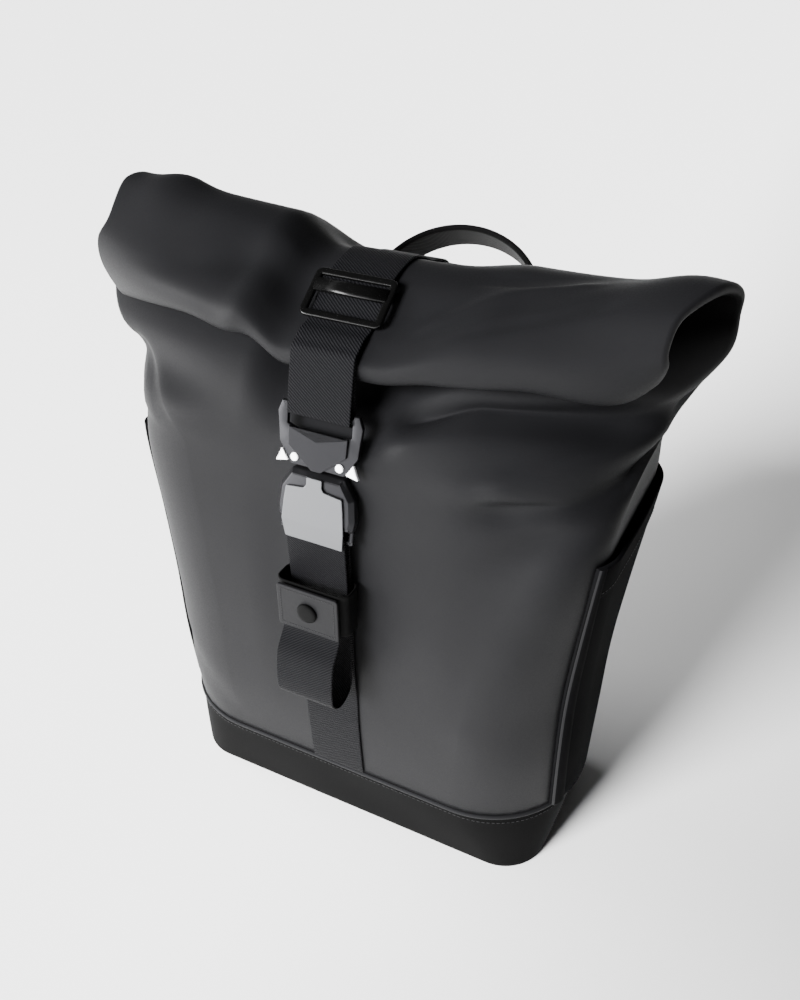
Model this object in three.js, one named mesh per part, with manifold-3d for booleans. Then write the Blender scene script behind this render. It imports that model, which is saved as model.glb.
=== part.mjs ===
import * as THREE from 'three';
import * as BufferGeometryUtils from 'three/addons/utils/BufferGeometryUtils.js';
import Module from 'manifold-3d';

const wasm = await Module();
wasm.setup();

// Driving dimensions, in millimetres. X runs across the bag, Y from its front to its back, Z up.
const bagWidth = 307;            // across the bag at its base seam
const bagDepth = 142;            // front to back at the base seam
const bagHeight = 425;           // floor to the top of the roll beside the strap
const rollWidth = 392;           // from end to end of the flattened and folded top
const seamHeight = 59;           // floor to the seam between the base and the cloth body
const footWidth = 285;           // the base where it meets the floor
const footDepth = 131;
const footCorner = 32;
const footFront = 11;            // how far the foot is set back from the front of the seam
const cloth = 1.5;               // coated cloth
const baseWall = 2;              // moulded base: wall and floor
const clearance = 0.3;           // between pieces that touch
const strapSink = 25;            // how far the strap pulls the roll down in the middle

const weltHeight = 3.4;          // piping between the base and the body
const weltStand = 1;             // how far it stands out

const pocketShare = 0.6035;      // height of the side pockets' mouths, as a share of the cloth body's
const pocketCloth = 2;
const pocketBulge = 3;           // how far the mouth stands off the body at its middle
const bindingThickness = 1;      // folded edge binding at the front of each pocket

const webbingWidth = 40;
const webbing = 1.5;             // webbing thickness

const sliderWidth = 51;
const sliderLength = 31;
const sliderThickness = 3;
const sliderBar = 5;             // its cross bars
const sliderUnderBar = 1.8;      // the bar that the strap lies on

const buckleHang = 20.4;         // from the roll's lower edge down to the bar that the top strap goes round
const buckleDrop = 74;           // from that bar to the lower bar
const buckleTilt = 11;           // degrees, its lower end leans forward
const buckleStand = 1;           // its upper bar stands this far in front of the seam
const lowerBarBack = 3.4;        // the lower bar lies this far behind the plane of the upper one
const bar = 2.8;                 // square bars that the webbing goes round
const lugRise = 3.3;             // the frame's two lugs reach this far above the upper bar's middle
const frameWidth = 54;
const frameLength = 33;          // from the upper bar down to the frame's narrow end
const windowLength = 10;         // the opening under the bar, at its sides
const windowPoint = 5.5;         // and how much farther its middle reaches
const plateThickness = 1.3;      // the raised plate with the pointed lower end
const bodyWidth = 51;
const bodyThickness = 7;
const bodyProud = 1;             // the body's front stands this far in front of the frame's
const jointGap = 2.6;            // between the frame's narrow end and the body
const railLength = 7;            // of the body's two rails, down to the lower bar
const flapWidth = 41;
const flapThickness = 1.4;
const flapCurl = 24;             // radius of the flap's curved lower end
const flapTurn = 14;             // degrees that it curves through
const flapFall = 10;             // and the straight stretch after it
const dotDiameter = 5;
const dotHeight = 1.2;
const guideThickness = 2.4;

const keeperHeight = 31;
const keeperDrop = 106;          // from that bar down to the keeper's top
const keeperDepth = 18;
const keeperWall = 1.5;
const keeperStand = 6;           // its back stands this far in front of the seam
const keeperRoom = 4.5;          // it is this much wider than the webbing at each side
const loopDrop = 87;             // from there down to the bottom of the webbing's hanging loop
const loopRadius = 12.2;
const tabWidth = 42;
const tabHeight = 31;
const tabThickness = 2;
const buttonDiameter = 13.5;
const buttonThickness = 1.6;

const handleWidth = 25;
const handleThickness = 4;
const handleSpan = 122;
const handleRise = 58;           // along the handle's own leaning plane
const handleLean = 42;           // degrees back from upright
const handleDrop = 75;           // from the top of the roll down to the feet of the handle
const handleShift = 9;           // to the right of the front strap's centre line
const footSeat = 0.7;            // the feet are cut square, so the bulging back needs this much more room

const padWidth = 58;             // shoulder straps
const padThickness = 9;
const padSpacing = 130;          // between the centre lines of the two straps
const padDrop = 125;             // from the top of the roll down to the top of the pads
const padBottom = 145;
const padBow = 16;               // how far a pad stands off the back in its middle
const tailOut = 3;               // and the webbing below it
const tailWidth = 25;

const colours = {
  cloth: { color: '#3b3b3c', roughness: 0.62, metalness: 0 },
  base: { color: '#363637', roughness: 0.6, metalness: 0 },
  webbing: { color: '#202021', roughness: 0.85, metalness: 0 },
  slider: { color: '#0e0e0f', roughness: 0.3, metalness: 0.1 },
  frame: { color: '#7b7c7f', roughness: 0.42, metalness: 0.7 },
  plate: { color: '#6b6c6e', roughness: 0.38, metalness: 0.8 },
  light: { color: '#e9e9ea', roughness: 0.25, metalness: 0.2 },
  leather: { color: '#454546', roughness: 0.55, metalness: 0 },
  button: { color: '#2a2a2b', roughness: 0.4, metalness: 0.2 },
};

// Sections of the cloth tube, from the base seam, up the body, over the top and down to the lower
// edge of the roll, where it turns in and ends at the mouth. body and roll are shares of half the
// bag's width and of half the roll's, and add up to the section's half width. corner is a share of
// the depth. front and back are [y, z] of the two walls halfway between the strap and the end, as
// shares of the depth and of the height above the seam, and endFront and endBack the same at the
// side edge. sink is how much of strapSink each wall drops under the strap. The left end differs:
// left is what its half width, in shares of the roll's, and its edge's y and z have more.
const sections = [
  { name: 'seam', body: 1, roll: 0, corner: 0.48, front: [0, 0], back: [1, 0], sink: [0, 0] },
  { name: 'low', body: 1.003, roll: 0, corner: 0.44, front: [-0.03, 0.139], back: [1.02, 0.139], sink: [0, 0] },
  { name: 'waist', body: 1.007, roll: 0, corner: 0.41, front: [-0.035, 0.284], back: [1.04, 0.284],
    sink: [0, 0] },
  { name: 'belly', body: 1.03, roll: 0, corner: 0.35, front: [-0.035, 0.431], back: [1.05, 0.431],
    sink: [0, 0] },
  { name: 'pockets', body: 1.063, roll: 0, corner: 0.23, front: [-0.023, 0.604], back: [1.05, 0.604],
    sink: [0, 0], left: [0.008, 0, 0] },
  { name: 'chest', body: 0.8, roll: 0.216, corner: 0.2, front: [-0.014, 0.692], back: [1.04, 0.698],
    endFront: [0.09, 0.675], endBack: [0.96, 0.692], sink: [0.1, 0], left: [0.02, 0, 0] },
  { name: 'shoulder', body: 0.5, roll: 0.48, corner: 0.2, front: [0.02, 0.756], back: [1.01, 0.791],
    endFront: [0.32, 0.739], endBack: [0.88, 0.756], sink: [0.45, 0], left: [0, -0.03, 0] },
  { name: 'neck', body: 0.25, roll: 0.73, corner: 0.2, front: [0.1, 0.808], back: [0.94, 0.872],
    endFront: [0.58, 0.803], endBack: [0.79, 0.814], sink: [0.65, 0.15], left: [0.01, -0.27, -0.01] },
  { name: 'gather', body: 0.1, roll: 0.91, corner: 0.2, front: [0.22, 0.851], back: [0.83, 0.936],
    endFront: [0.72, 0.861], endBack: [0.775, 0.872], sink: [0.75, 0.4], left: [-0.005, -0.3, -0.01] },
  { name: 'crown', body: 0, roll: 0.995, corner: 0.2, front: [0.36, 0.901], back: [0.69, 0.977],
    endFront: [0.7, 0.919], endBack: [0.742, 0.929], sink: [0.8, 0.75], left: [-0.03, -0.25, 0.01] },
  { name: 'fold', body: 0, roll: 1, corner: 0.2, front: [0.47, 0.948], back: [0.53, 0.998],
    endFront: [0.6, 0.96], endBack: [0.622, 0.976], sink: [0.6, 0.68], left: [-0.14, -0.08, 0.036] },
  { name: 'brow', body: 0, roll: 0.965, corner: 0.2, front: [0.385, 0.975], back: [0.37, 0.991],
    endFront: [0.45, 0.981], endBack: [0.45, 0.998], sink: [0.74, 0.74], left: [-0.072, 0, 0.018] },
  { name: 'slope', body: 0, roll: 0.905, corner: 0.2, front: [0.25, 0.946], back: [0.228, 0.961],
    endFront: [0.29, 0.967], endBack: [0.262, 0.982], sink: [0.88, 0.88], left: [-0.017, 0.04, -0.013] },
  { name: 'face', body: 0, roll: 0.89, corner: 0.2, front: [0.14, 0.919], back: [0.105, 0.931],
    endFront: [0.235, 0.935], endBack: [0.198, 0.942], sink: [0.8, 0.8], left: [0.026, 0.06, -0.006] },
  { name: 'chin', body: 0, roll: 0.893, corner: 0.2, front: [0.078, 0.9], back: [0.035, 0.904],
    endFront: [0.255, 0.916], endBack: [0.215, 0.913], sink: [0.75, 0.75], left: [0.028, 0.05, -0.023] },
  { name: 'lower edge', body: 0, roll: 0.878, corner: 0.2, front: [0.08, 0.889], back: [0.055, 0.874],
    endFront: [0.3, 0.9], endBack: [0.29, 0.8845], sink: [0.7, 0.7], left: [0.02, 0.03, -0.053] },
  { name: 'turn', body: 0, roll: 0.862, corner: 0.2, front: [0.13, 0.888], back: [0.145, 0.873],
    endFront: [0.355, 0.896], endBack: [0.362, 0.8805], sink: [0.7, 0.7], left: [0.03, 0, -0.05] },
  { name: 'mouth', body: 0, roll: 0.852, corner: 0.2, front: [0.215, 0.904], back: [0.235, 0.8895],
    endFront: [0.43, 0.9125], endBack: [0.44, 0.897], sink: [0.7, 0.7], left: [0.04, 0, -0.045] },
];

// Soft dents (inwards) and swells (outwards, negative) of the cloth. x is a share of half the
// section's width, row a place in the table above, reach and rows its spread along X and along the
// rows, lean how many rows it climbs over its reach, and depth a share of the bag's depth. Where
// wall is both, the two walls move together, and where it is drop, they hang lower.
const dents = [
  { name: 'under the roll', wall: 'front', x: 0.62, row: 6.3, reach: 0.4, rows: 0.55, lean: 0.1, depth: 0.05 },
  { name: 'above the pocket', wall: 'front', x: 0.84, row: 4.4, reach: 0.2, rows: 0.4, lean: 0.42, depth: 0.06 },
  { name: 'over that dent', wall: 'front', x: 0.72, row: 5.3, reach: 0.3, rows: 0.4, lean: 0.3, depth: -0.04 },
  { name: 'left shoulder', wall: 'front', x: -0.93, row: 4.9, reach: 0.09, rows: 0.6, lean: 0, depth: 0.05 },
  { name: 'left swell', wall: 'front', x: -0.7, row: 5.4, reach: 0.25, rows: 0.6, lean: -0.2, depth: -0.04 },
  { name: 'belly', wall: 'front', x: 0.3, row: 2.6, reach: 0.7, rows: 1.4, lean: 0, depth: -0.03 },
  { name: 'left ridge', wall: 'both', x: -0.7, row: 10.5, reach: 0.35, rows: 1.5, lean: 0, depth: -0.02 },
  { name: 'left hollow', wall: 'both', x: -0.36, row: 12.4, reach: 0.12, rows: 1, lean: 0.3, depth: 0.02 },
  { name: 'right hollow', wall: 'both', x: 0.33, row: 10.4, reach: 0.42, rows: 2.2, lean: 0, depth: 0.12 },
  { name: 'right tip', wall: 'both', x: 0.9, row: 10.4, reach: 0.12, rows: 1.5, lean: 0, depth: -0.035 },
  { name: 'left tip', wall: 'both', x: -0.8, row: 10.3, reach: 0.1, rows: 1.2, lean: 0, depth: -0.035 },
  { name: 'right sag', wall: 'drop', x: 0.88, row: 15, reach: 0.22, rows: 1.3, lean: 0, depth: 0.1 },
  { name: 'right corner', wall: 'drop', x: 1.04, row: 15, reach: 0.08, rows: 1.3, lean: 0, depth: -0.08 },
  { name: 'beside the strap', wall: 'drop', x: 0.45, row: 15, reach: 0.2, rows: 1.3, lean: 0, depth: 0.07 },
  { name: 'left of the strap', wall: 'drop', x: -0.38, row: 15, reach: 0.12, rows: 1.3, lean: 0, depth: 0.04 },
];

const strapFlat = sliderWidth / 2 + 2;        // the skin stays flat this far to each side of the strap
const flatShare = 0.25;                       // share of the wall's places that lie on that flat
const leftFade = strapFlat + 32;              // and the strap's pull ends here on the left
const rightFade = strapFlat + 60;             // and here on the right
const leftCorner = 68;                        // radius of the front left corner, slacker than the others
const endPower = 3;                           // how late the walls turn towards the side edge
const shellBottom = seamHeight + clearance;
const shellRise = bagHeight - shellBottom;
const rowNamed = (name) => sections.findIndex((section) => section.name === name);

// Columns of the sections table in millimetres
const pointColumns = (name, spare) => ({
  y: sections.map((section) => (section[name] ?? section[spare])[0] * bagDepth),
  z: sections.map((section) => shellBottom + (section[name] ?? section[spare])[1] * shellRise),
});
const columns = {
  half: sections.map((section) => section.body * bagWidth / 2 + section.roll * rollWidth / 2),
  corner: sections.map((section) => section.corner * bagDepth),
  leftHalf: sections.map((section) => (section.left?.[0] ?? 0) * rollWidth / 2),
  leftY: sections.map((section) => (section.left?.[1] ?? 0) * bagDepth),
  leftZ: sections.map((section) => (section.left?.[2] ?? 0) * shellRise),
  front: pointColumns('front'),
  back: pointColumns('back'),
  endFront: pointColumns('endFront', 'front'),
  endBack: pointColumns('endBack', 'back'),
  frontSink: sections.map((section) => section.sink[0] * strapSink),
  backSink: sections.map((section) => section.sink[1] * strapSink),
};

// Smooth value of a column between its rows, a Catmull-Rom curve
function between(column, row) {
  const last = column.length - 1;
  const first = Math.min(Math.floor(row), last - 1);
  const t = row - first;
  const before = column[Math.max(first - 1, 0)];
  const start = column[first];
  const end = column[first + 1];
  const after = column[Math.min(first + 2, last)];
  const square = 2 * before - 5 * start + 4 * end - after;
  const cubic = -before + 3 * start - 3 * end + after;
  return (2 * start + (end - before) * t + square * t * t + cubic * t * t * t) / 2;
}

function wallPoint(name, row) {
  return new THREE.Vector2(between(columns[name].y, row), between(columns[name].z, row));
}

// Depth of the dents at a place of one wall
function dentDepth(wall, x, half, row) {
  let depth = 0;
  for (const dent of dents) {
    if (dent.wall === wall) {
      const across = (x / half - dent.x) / dent.reach;
      const along = (row - dent.row - dent.lean * across) / dent.rows;
      depth += dent.depth * bagDepth * Math.exp(-across * across - along * along);
    }
  }
  return depth;
}

// How far along X a wall's place lies: a quarter of the places cover the flat under the strap
function alongWall(across, reach) {
  const share = Math.abs(across);
  const x = share < flatShare
    ? share / flatShare * strapFlat
    : THREE.MathUtils.mapLinear(share, flatShare, 1, strapFlat, reach);
  return Math.sign(across) * x;
}

const origin = new THREE.Vector2();

// A point of the cloth. place says where on the rounded rectangle: across and through place the
// corner's centre or the straight side, and (outX, outY) points out of it. inset lies inwards.
function skin(row, place, inset) {
  const isLeft = place.across < 0;
  const shift = isLeft ? new THREE.Vector2(between(columns.leftY, row), between(columns.leftZ, row)) : origin;
  const half = between(columns.half, row) + (isLeft ? between(columns.leftHalf, row) : 0);
  const endFront = wallPoint('endFront', row).add(shift);
  const endBack = wallPoint('endBack', row).add(shift);
  const most = endFront.distanceTo(endBack) * 0.49;
  const backCorner = Math.min(between(columns.corner, row), most);
  const frontCorner = isLeft ? Math.min(leftCorner, most) : backCorner;
  const corner = place.through < 0.5 ? frontCorner : backCorner;
  const x = alongWall(place.across, half - corner) + (corner - inset) * place.outX;
  const share = Math.min(Math.abs(x) / half, 1);
  const toEnd = share ** endPower;
  const pull = 1 - THREE.MathUtils.smoothstep(Math.abs(x), strapFlat, isLeft ? leftFade : rightFade);
  const front = wallPoint('front', row).lerp(endFront, toEnd);
  const back = wallPoint('back', row).lerp(endBack, toEnd);
  front.y -= between(columns.frontSink, row) * pull;
  back.y -= between(columns.backSink, row) * pull;
  const depth = front.distanceTo(back);
  const wall = place.outY < 0 ? 'front' : 'back';
  const dent = dentDepth(wall, x, half, row) * Math.abs(place.outY) * (1 - pull);
  const both = dentDepth('both', x, half, row) * (1 - pull);
  const straight = frontCorner + place.through * (depth - frontCorner - backCorner);
  const along = straight + (corner - inset - dent) * place.outY - both;
  front.lerp(back, along / depth);
  front.y -= dentDepth('drop', x, half, row) * (1 - pull);
  return new THREE.Vector3(x, front.x, front.y);
}

// Places round the tube in order: front wall left to right, right side, back wall, left side
function placesRound(wallSteps, cornerSteps, sideSteps) {
  const list = [];
  for (const turn of [-1, 1]) {
    for (let n = 0; n < wallSteps; n += 1) {
      list.push({ across: turn * (1 - 2 * n / wallSteps), through: (1 + turn) / 2, outX: 0, outY: turn });
    }
    for (let n = 0; n < cornerSteps; n += 1) {
      const angle = n / cornerSteps * Math.PI / 2;
      const out = { outX: -turn * Math.sin(angle), outY: turn * Math.cos(angle) };
      list.push({ across: -turn, through: (1 + turn) / 2, ...out });
    }
    for (let n = 0; n < sideSteps; n += 1) {
      const through = turn < 0 ? n / sideSteps : 1 - n / sideSteps;
      list.push({ across: -turn, through, outX: -turn, outY: 0 });
    }
    for (let n = 0; n < cornerSteps; n += 1) {
      const angle = n / cornerSteps * Math.PI / 2;
      const out = { outX: -turn * Math.cos(angle), outY: -turn * Math.sin(angle) };
      list.push({ across: -turn, through: (1 - turn) / 2, ...out });
    }
  }
  return list;
}

// Places on one side of the bag, from a front corner to a back corner, for the pockets
function placesOnSide(side, startAngle, endAngle, cornerSteps, sideSteps) {
  const list = [];
  for (let n = 0; n <= cornerSteps; n += 1) {
    const angle = THREE.MathUtils.degToRad(THREE.MathUtils.lerp(startAngle, 90, n / cornerSteps));
    list.push({ across: side, through: 0, outX: side * Math.sin(angle), outY: -Math.cos(angle) });
  }
  for (let n = 1; n < sideSteps; n += 1) {
    list.push({ across: side, through: n / sideSteps, outX: side, outY: 0 });
  }
  for (let n = 0; n <= cornerSteps; n += 1) {
    const angle = THREE.MathUtils.degToRad(THREE.MathUtils.lerp(0, endAngle, n / cornerSteps));
    list.push({ across: side, through: 1, outX: side * Math.cos(angle), outY: Math.sin(angle) });
  }
  return list;
}

// A closed wall between two grids of points with the same rows. A round wall has no side edges.
function walled(outer, inner, round) {
  const rows = outer.length;
  const count = outer[0].length;
  const positions = [];
  for (const grid of [outer, inner]) {
    for (const line of grid) {
      for (const point of line) {
        positions.push(point.x, point.y, point.z);
      }
    }
  }
  const at = (face, row, n) => face * rows * count + row * count + n % count;
  const index = [];
  const quad = (a, b, c, d) => index.push(a, b, c, a, c, d);
  const spans = round ? count : count - 1;
  for (let row = 0; row < rows - 1; row += 1) {
    for (let n = 0; n < spans; n += 1) {
      quad(at(0, row, n), at(0, row, n + 1), at(0, row + 1, n + 1), at(0, row + 1, n));
      quad(at(1, row, n + 1), at(1, row, n), at(1, row + 1, n), at(1, row + 1, n + 1));
    }
  }
  for (let n = 0; n < spans; n += 1) {
    quad(at(0, 0, n + 1), at(0, 0, n), at(1, 0, n), at(1, 0, n + 1));
    quad(at(0, rows - 1, n), at(0, rows - 1, n + 1), at(1, rows - 1, n + 1), at(1, rows - 1, n));
  }
  if (!round) {
    for (let row = 0; row < rows - 1; row += 1) {
      quad(at(0, row, 0), at(0, row + 1, 0), at(1, row + 1, 0), at(1, row, 0));
      quad(at(0, row + 1, count - 1), at(0, row, count - 1), at(1, row, count - 1), at(1, row + 1, count - 1));
    }
  }
  return facingOut(positions, index);
}

// A geometry whose faces point out of it
function facingOut(positions, index) {
  let volume = 0;
  const corner = (n) => new THREE.Vector3().fromArray(positions, index[n] * 3);
  for (let n = 0; n < index.length; n += 3) {
    volume += corner(n).dot(corner(n + 1).cross(corner(n + 2)));
  }
  const geometry = new THREE.BufferGeometry();
  geometry.setAttribute('position', new THREE.Float32BufferAttribute(positions, 3));
  geometry.setIndex(volume > 0 ? index : index.toReversed());
  geometry.computeVertexNormals();
  return geometry;
}

// Even steps from one row to another
function rowSteps(start, end, perRow) {
  const count = Math.round((end - start) * perRow);
  return Array.from({ length: count + 1 }, (_, n) => start + (end - start) * n / count);
}

// Solids and back, for joining and cutting
function solid(geometry) {
  const bare = geometry.clone();
  bare.deleteAttribute('normal');
  bare.deleteAttribute('uv');
  const merged = BufferGeometryUtils.mergeVertices(bare);
  return new wasm.Manifold(new wasm.Mesh({
    numProp: 3,
    vertProperties: new Float32Array(merged.attributes.position.array),
    triVerts: new Uint32Array(merged.index.array),
  }));
}

function fromSolid(body) {
  const mesh = body.getMesh();
  const geometry = new THREE.BufferGeometry();
  geometry.setAttribute('position', new THREE.Float32BufferAttribute(mesh.vertProperties, 3));
  geometry.setIndex(Array.from(mesh.triVerts));
  geometry.computeVertexNormals();
  return geometry;
}

const axisX = new THREE.Vector3(1, 0, 0);
const axisY = new THREE.Vector3(0, 1, 0);
const axisZ = new THREE.Vector3(0, 0, 1);

// A flat plate seen from the front: outline in X and Z, its back at y and its front nearer by depth
function plate(outline, depth, y, holes = []) {
  const points = outline.map(([x, z]) => new THREE.Vector2(x, z));
  const shape = new THREE.Shape(THREE.ShapeUtils.isClockWise(points) ? points.toReversed() : points);
  for (const hole of holes) {
    shape.holes.push(new THREE.Path(hole.map(([x, z]) => new THREE.Vector2(x, z))));
  }
  const geometry = new THREE.ExtrudeGeometry(shape, { depth, bevelEnabled: false });
  geometry.applyMatrix4(new THREE.Matrix4().makeBasis(axisX, axisZ, axisY.clone().negate()));
  geometry.translate(0, y, 0);
  return geometry;
}

// Points moved sideways off a line in the YZ plane, with mitred corners. Positive is to its left.
function offsetLine(line, distance) {
  return line.map((point, n) => {
    const into = point.clone().sub(line[Math.max(n - 1, 0)]).normalize();
    const out = line[Math.min(n + 1, line.length - 1)].clone().sub(point).normalize();
    const along = into.clone().add(out).normalize();
    const straight = n === 0 ? out : into;
    const stretch = 1 / Math.max(along.dot(straight), 0.3);
    return new THREE.Vector2(-along.y, along.x).multiplyScalar(distance * stretch).add(point);
  });
}

// A flat band that follows a line in the YZ plane
function ribbon(line, thickness, width, x = 0) {
  const left = offsetLine(line, thickness / 2);
  const right = offsetLine(line, -thickness / 2);
  const shape = new THREE.Shape([...right, ...left.toReversed()]);
  const geometry = new THREE.ExtrudeGeometry(shape, { depth: width, bevelEnabled: false });
  geometry.applyMatrix4(new THREE.Matrix4().makeBasis(axisY, axisZ, axisX));
  geometry.translate(x - width / 2, 0, 0);
  return geometry;
}

// Points of a circle's arc in the YZ plane, angles in degrees from +Y towards +Z
function arc(y, z, radius, start, end, steps) {
  return Array.from({ length: steps + 1 }, (_, n) => {
    const angle = THREE.MathUtils.degToRad(THREE.MathUtils.lerp(start, end, n / steps));
    return new THREE.Vector2(y + radius * Math.cos(angle), z + radius * Math.sin(angle));
  });
}

function roundedRectangle(halfWidth, halfDepth, radius, steps) {
  const points = [];
  for (const [sideX, sideY, start] of [[1, -1, -90], [1, 1, 0], [-1, 1, 90], [-1, -1, 180]]) {
    for (const point of arc(0, 0, radius, start, start + 90, steps)) {
      points.push(new THREE.Vector2(sideX * (halfWidth - radius) + point.x, sideY * (halfDepth - radius) + point.y));
    }
  }
  return points;
}

const bag = new THREE.Group();

function add(name, geometry, colour, parent = bag) {
  const mesh = new THREE.Mesh(geometry, new THREE.MeshStandardMaterial(colours[colour]));
  mesh.name = name;
  parent.add(mesh);
  return mesh;
}

const frontMiddle = { across: 0, through: 0, outX: 0, outY: -1 };
const backMiddle = { across: 0, through: 1, outX: 0, outY: 1 };
const bodyRows = 2;              // steps per row of the sections table

// The cloth tube is divided at its neck, under the roll: the body below, open at the seam, and the
// rolled top above, open at the mouth
const tubePlaces = placesRound(16, 3, 3);
const neckRow = rowNamed('neck');

function clothTube(rows) {
  const grid = (inset) => rows.map((row) => tubePlaces.map((place) => skin(row, place, inset)));
  return walled(grid(0), grid(cloth), true);
}

// How far apart two rows are, in rows, where the cloth between them measures at least a distance
function rowsFor(distance, row) {
  const reach = 0.05;
  const travel = [0, cloth].flatMap((inset) => tubePlaces.map((place) => (
    skin(row - reach, place, inset).distanceTo(skin(row + reach, place, inset)))));
  return distance * 2 * reach / Math.min(...travel);
}

const neckGap = rowsFor(clearance, neckRow);

function bodyShell() {
  return clothTube(rowSteps(0, neckRow - neckGap / 2, bodyRows));
}

function rolledTop() {
  return clothTube(rowSteps(neckRow + neckGap / 2, sections.length - 1, bodyRows));
}

// A level of the base, between its foot and the seam, inset from its outer face
function baseLevel(share, inset, z) {
  const seam = { half: bagWidth / 2, front: 0, back: bagDepth, corner: sections[0].corner * bagDepth };
  const foot = { half: footWidth / 2, front: footFront, back: footFront + footDepth, corner: footCorner };
  const mix = (name) => THREE.MathUtils.lerp(foot[name], seam[name], share);
  const middle = (mix('front') + mix('back')) / 2;
  const halfDepth = (mix('back') - mix('front')) / 2 - inset;
  const points = roundedRectangle(mix('half') - inset, halfDepth, mix('corner') - inset, 6);
  return points.map((point) => new THREE.Vector3(point.x, point.y + middle, z));
}

const bandTop = seamHeight - weltHeight - clearance;

// The base: a tray with a floor, open at the top
function baseBand() {
  const levels = [0, 0.5, 1];
  const outer = levels.map((share) => baseLevel(share * bandTop / seamHeight, 0, share * bandTop));
  const inner = levels.map((share) => {
    const z = THREE.MathUtils.lerp(baseWall, bandTop, share);
    return baseLevel(z / seamHeight, baseWall, z);
  });
  const count = outer[0].length;
  const positions = [...outer, ...inner].flat().flatMap((point) => point.toArray());
  const at = (level, n) => level * count + n % count;
  const index = [];
  const quad = (a, b, c, d) => index.push(a, b, c, a, c, d);
  for (let n = 0; n < count; n += 1) {
    for (const level of [0, 1]) {
      quad(at(level, n), at(level, n + 1), at(level + 1, n + 1), at(level + 1, n));
      quad(at(level + 3, n + 1), at(level + 3, n), at(level + 4, n), at(level + 4, n + 1));
    }
    quad(at(2, n), at(2, n + 1), at(5, n + 1), at(5, n));
  }
  for (let n = 1; n < count - 1; n += 1) {
    index.push(at(0, 0), at(0, n + 1), at(0, n));
    index.push(at(3, 0), at(3, n), at(3, n + 1));
  }
  return facingOut(positions, index);
}

// The welt: a raised ring between the base and the body
function seamWelt() {
  const profile = [[0, 0], [-weltStand, 0.25], [-weltStand, 0.75], [0, 1], [baseWall, 1], [baseWall, 0]];
  const rings = profile.map(([inset, share]) => baseLevel(1, inset, bandTop + clearance + share * weltHeight));
  const count = rings[0].length;
  const positions = rings.flat().flatMap((point) => point.toArray());
  const at = (ring, n) => (ring % rings.length) * count + n % count;
  const index = [];
  for (let ring = 0; ring < rings.length; ring += 1) {
    for (let n = 0; n < count; n += 1) {
      index.push(at(ring, n), at(ring, n + 1), at(ring + 1, n + 1));
      index.push(at(ring, n), at(ring + 1, n + 1), at(ring + 1, n));
    }
  }
  return facingOut(positions, index);
}

// The row at which the body reaches a height, for pieces that lie on its upright part
function rowAt(height, place) {
  let low = 0;
  let high = rowNamed('neck');
  for (let n = 0; n < 30; n += 1) {
    const middle = (low + high) / 2;
    if (skin(middle, place, 0).z < height) {
      low = middle;
    } else {
      high = middle;
    }
  }
  return (low + high) / 2;
}

const sideMiddle = { across: 1, through: 0.5, outX: 1, outY: 0 };
const pocketFrontAngle = 60;     // degrees round the front corner where the pocket starts
const pocketBackAngle = 60;      // and round the back corner where it ends
const bindingSteps = 2;          // steps of the pocket's places that the binding covers

// A side pocket's places on the skin, one list per height, lifted off it and standing off at the mouth
function pocketGrid(side, lift, count) {
  const rows = rowSteps(0, rowAt(shellBottom + pocketShare * shellRise, sideMiddle), bodyRows);
  const places = placesOnSide(side, pocketFrontAngle, pocketBackAngle, 6, 5);
  return rows.map((row) => places.slice(0, count).map((place, n) => {
    const open = Math.sin(Math.PI * n / (places.length - 1)) * (row / rows.at(-1)) ** 3;
    return skin(row, place, -clearance - lift - pocketBulge * open);
  }));
}

// A side pocket: a cloth panel that lies on the body and stands off it at the mouth
function pocket(side) {
  return walled(pocketGrid(side, pocketCloth), pocketGrid(side, 0), false);
}

// The binding that edges a pocket's front, laid on the pocket's cloth
function pocketBinding(side) {
  const on = pocketCloth + 1.5 * clearance;
  return walled(pocketGrid(side, on + bindingThickness, bindingSteps + 1),
    pocketGrid(side, on, bindingSteps + 1), false);
}

// The skin's middle line on one wall, in the YZ plane
function middleLine(place, rows) {
  return rows.map((row) => {
    const point = skin(row, place, 0);
    return new THREE.Vector2(point.y, point.z);
  });
}

// The buckle stands in its own frame: origin in the upper bar, Z up along it, front towards -Y
const buckleHeight = skin(rowNamed('lower edge'), backMiddle, 0).z - buckleHang;
const buckle = new THREE.Group();
buckle.position.set(0, -buckleStand, buckleHeight);
buckle.rotation.x = -THREE.MathUtils.degToRad(buckleTilt);
buckle.updateMatrixWorld();
bag.add(buckle);

const inBuckle = (y, z) => {
  const point = new THREE.Vector3(0, y, z).applyMatrix4(buckle.matrixWorld);
  return new THREE.Vector2(point.y, point.z);
};

const wrap = bar / Math.SQRT2 + clearance + webbing / 2;      // centre of a bar to the webbing's middle

// The slider stands in its own frame too: origin on the skin, Y along its strap, Z off the skin
const sliderRow = rowNamed('brow') + 0.8;
const sliderSkin = middleLine(backMiddle, [sliderRow - 0.3, sliderRow, sliderRow + 0.3]);
const sliderAlong = sliderSkin[2].clone().sub(sliderSkin[0]).normalize();
const sliderOut = new THREE.Vector2(sliderAlong.y, -sliderAlong.x);
const sliderPoint = (along, out) => sliderSkin[1].clone().addScaledVector(sliderAlong, along)
  .addScaledVector(sliderOut, out);
const strapLift = 2 * clearance + sliderUnderBar + webbing / 2;

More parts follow.
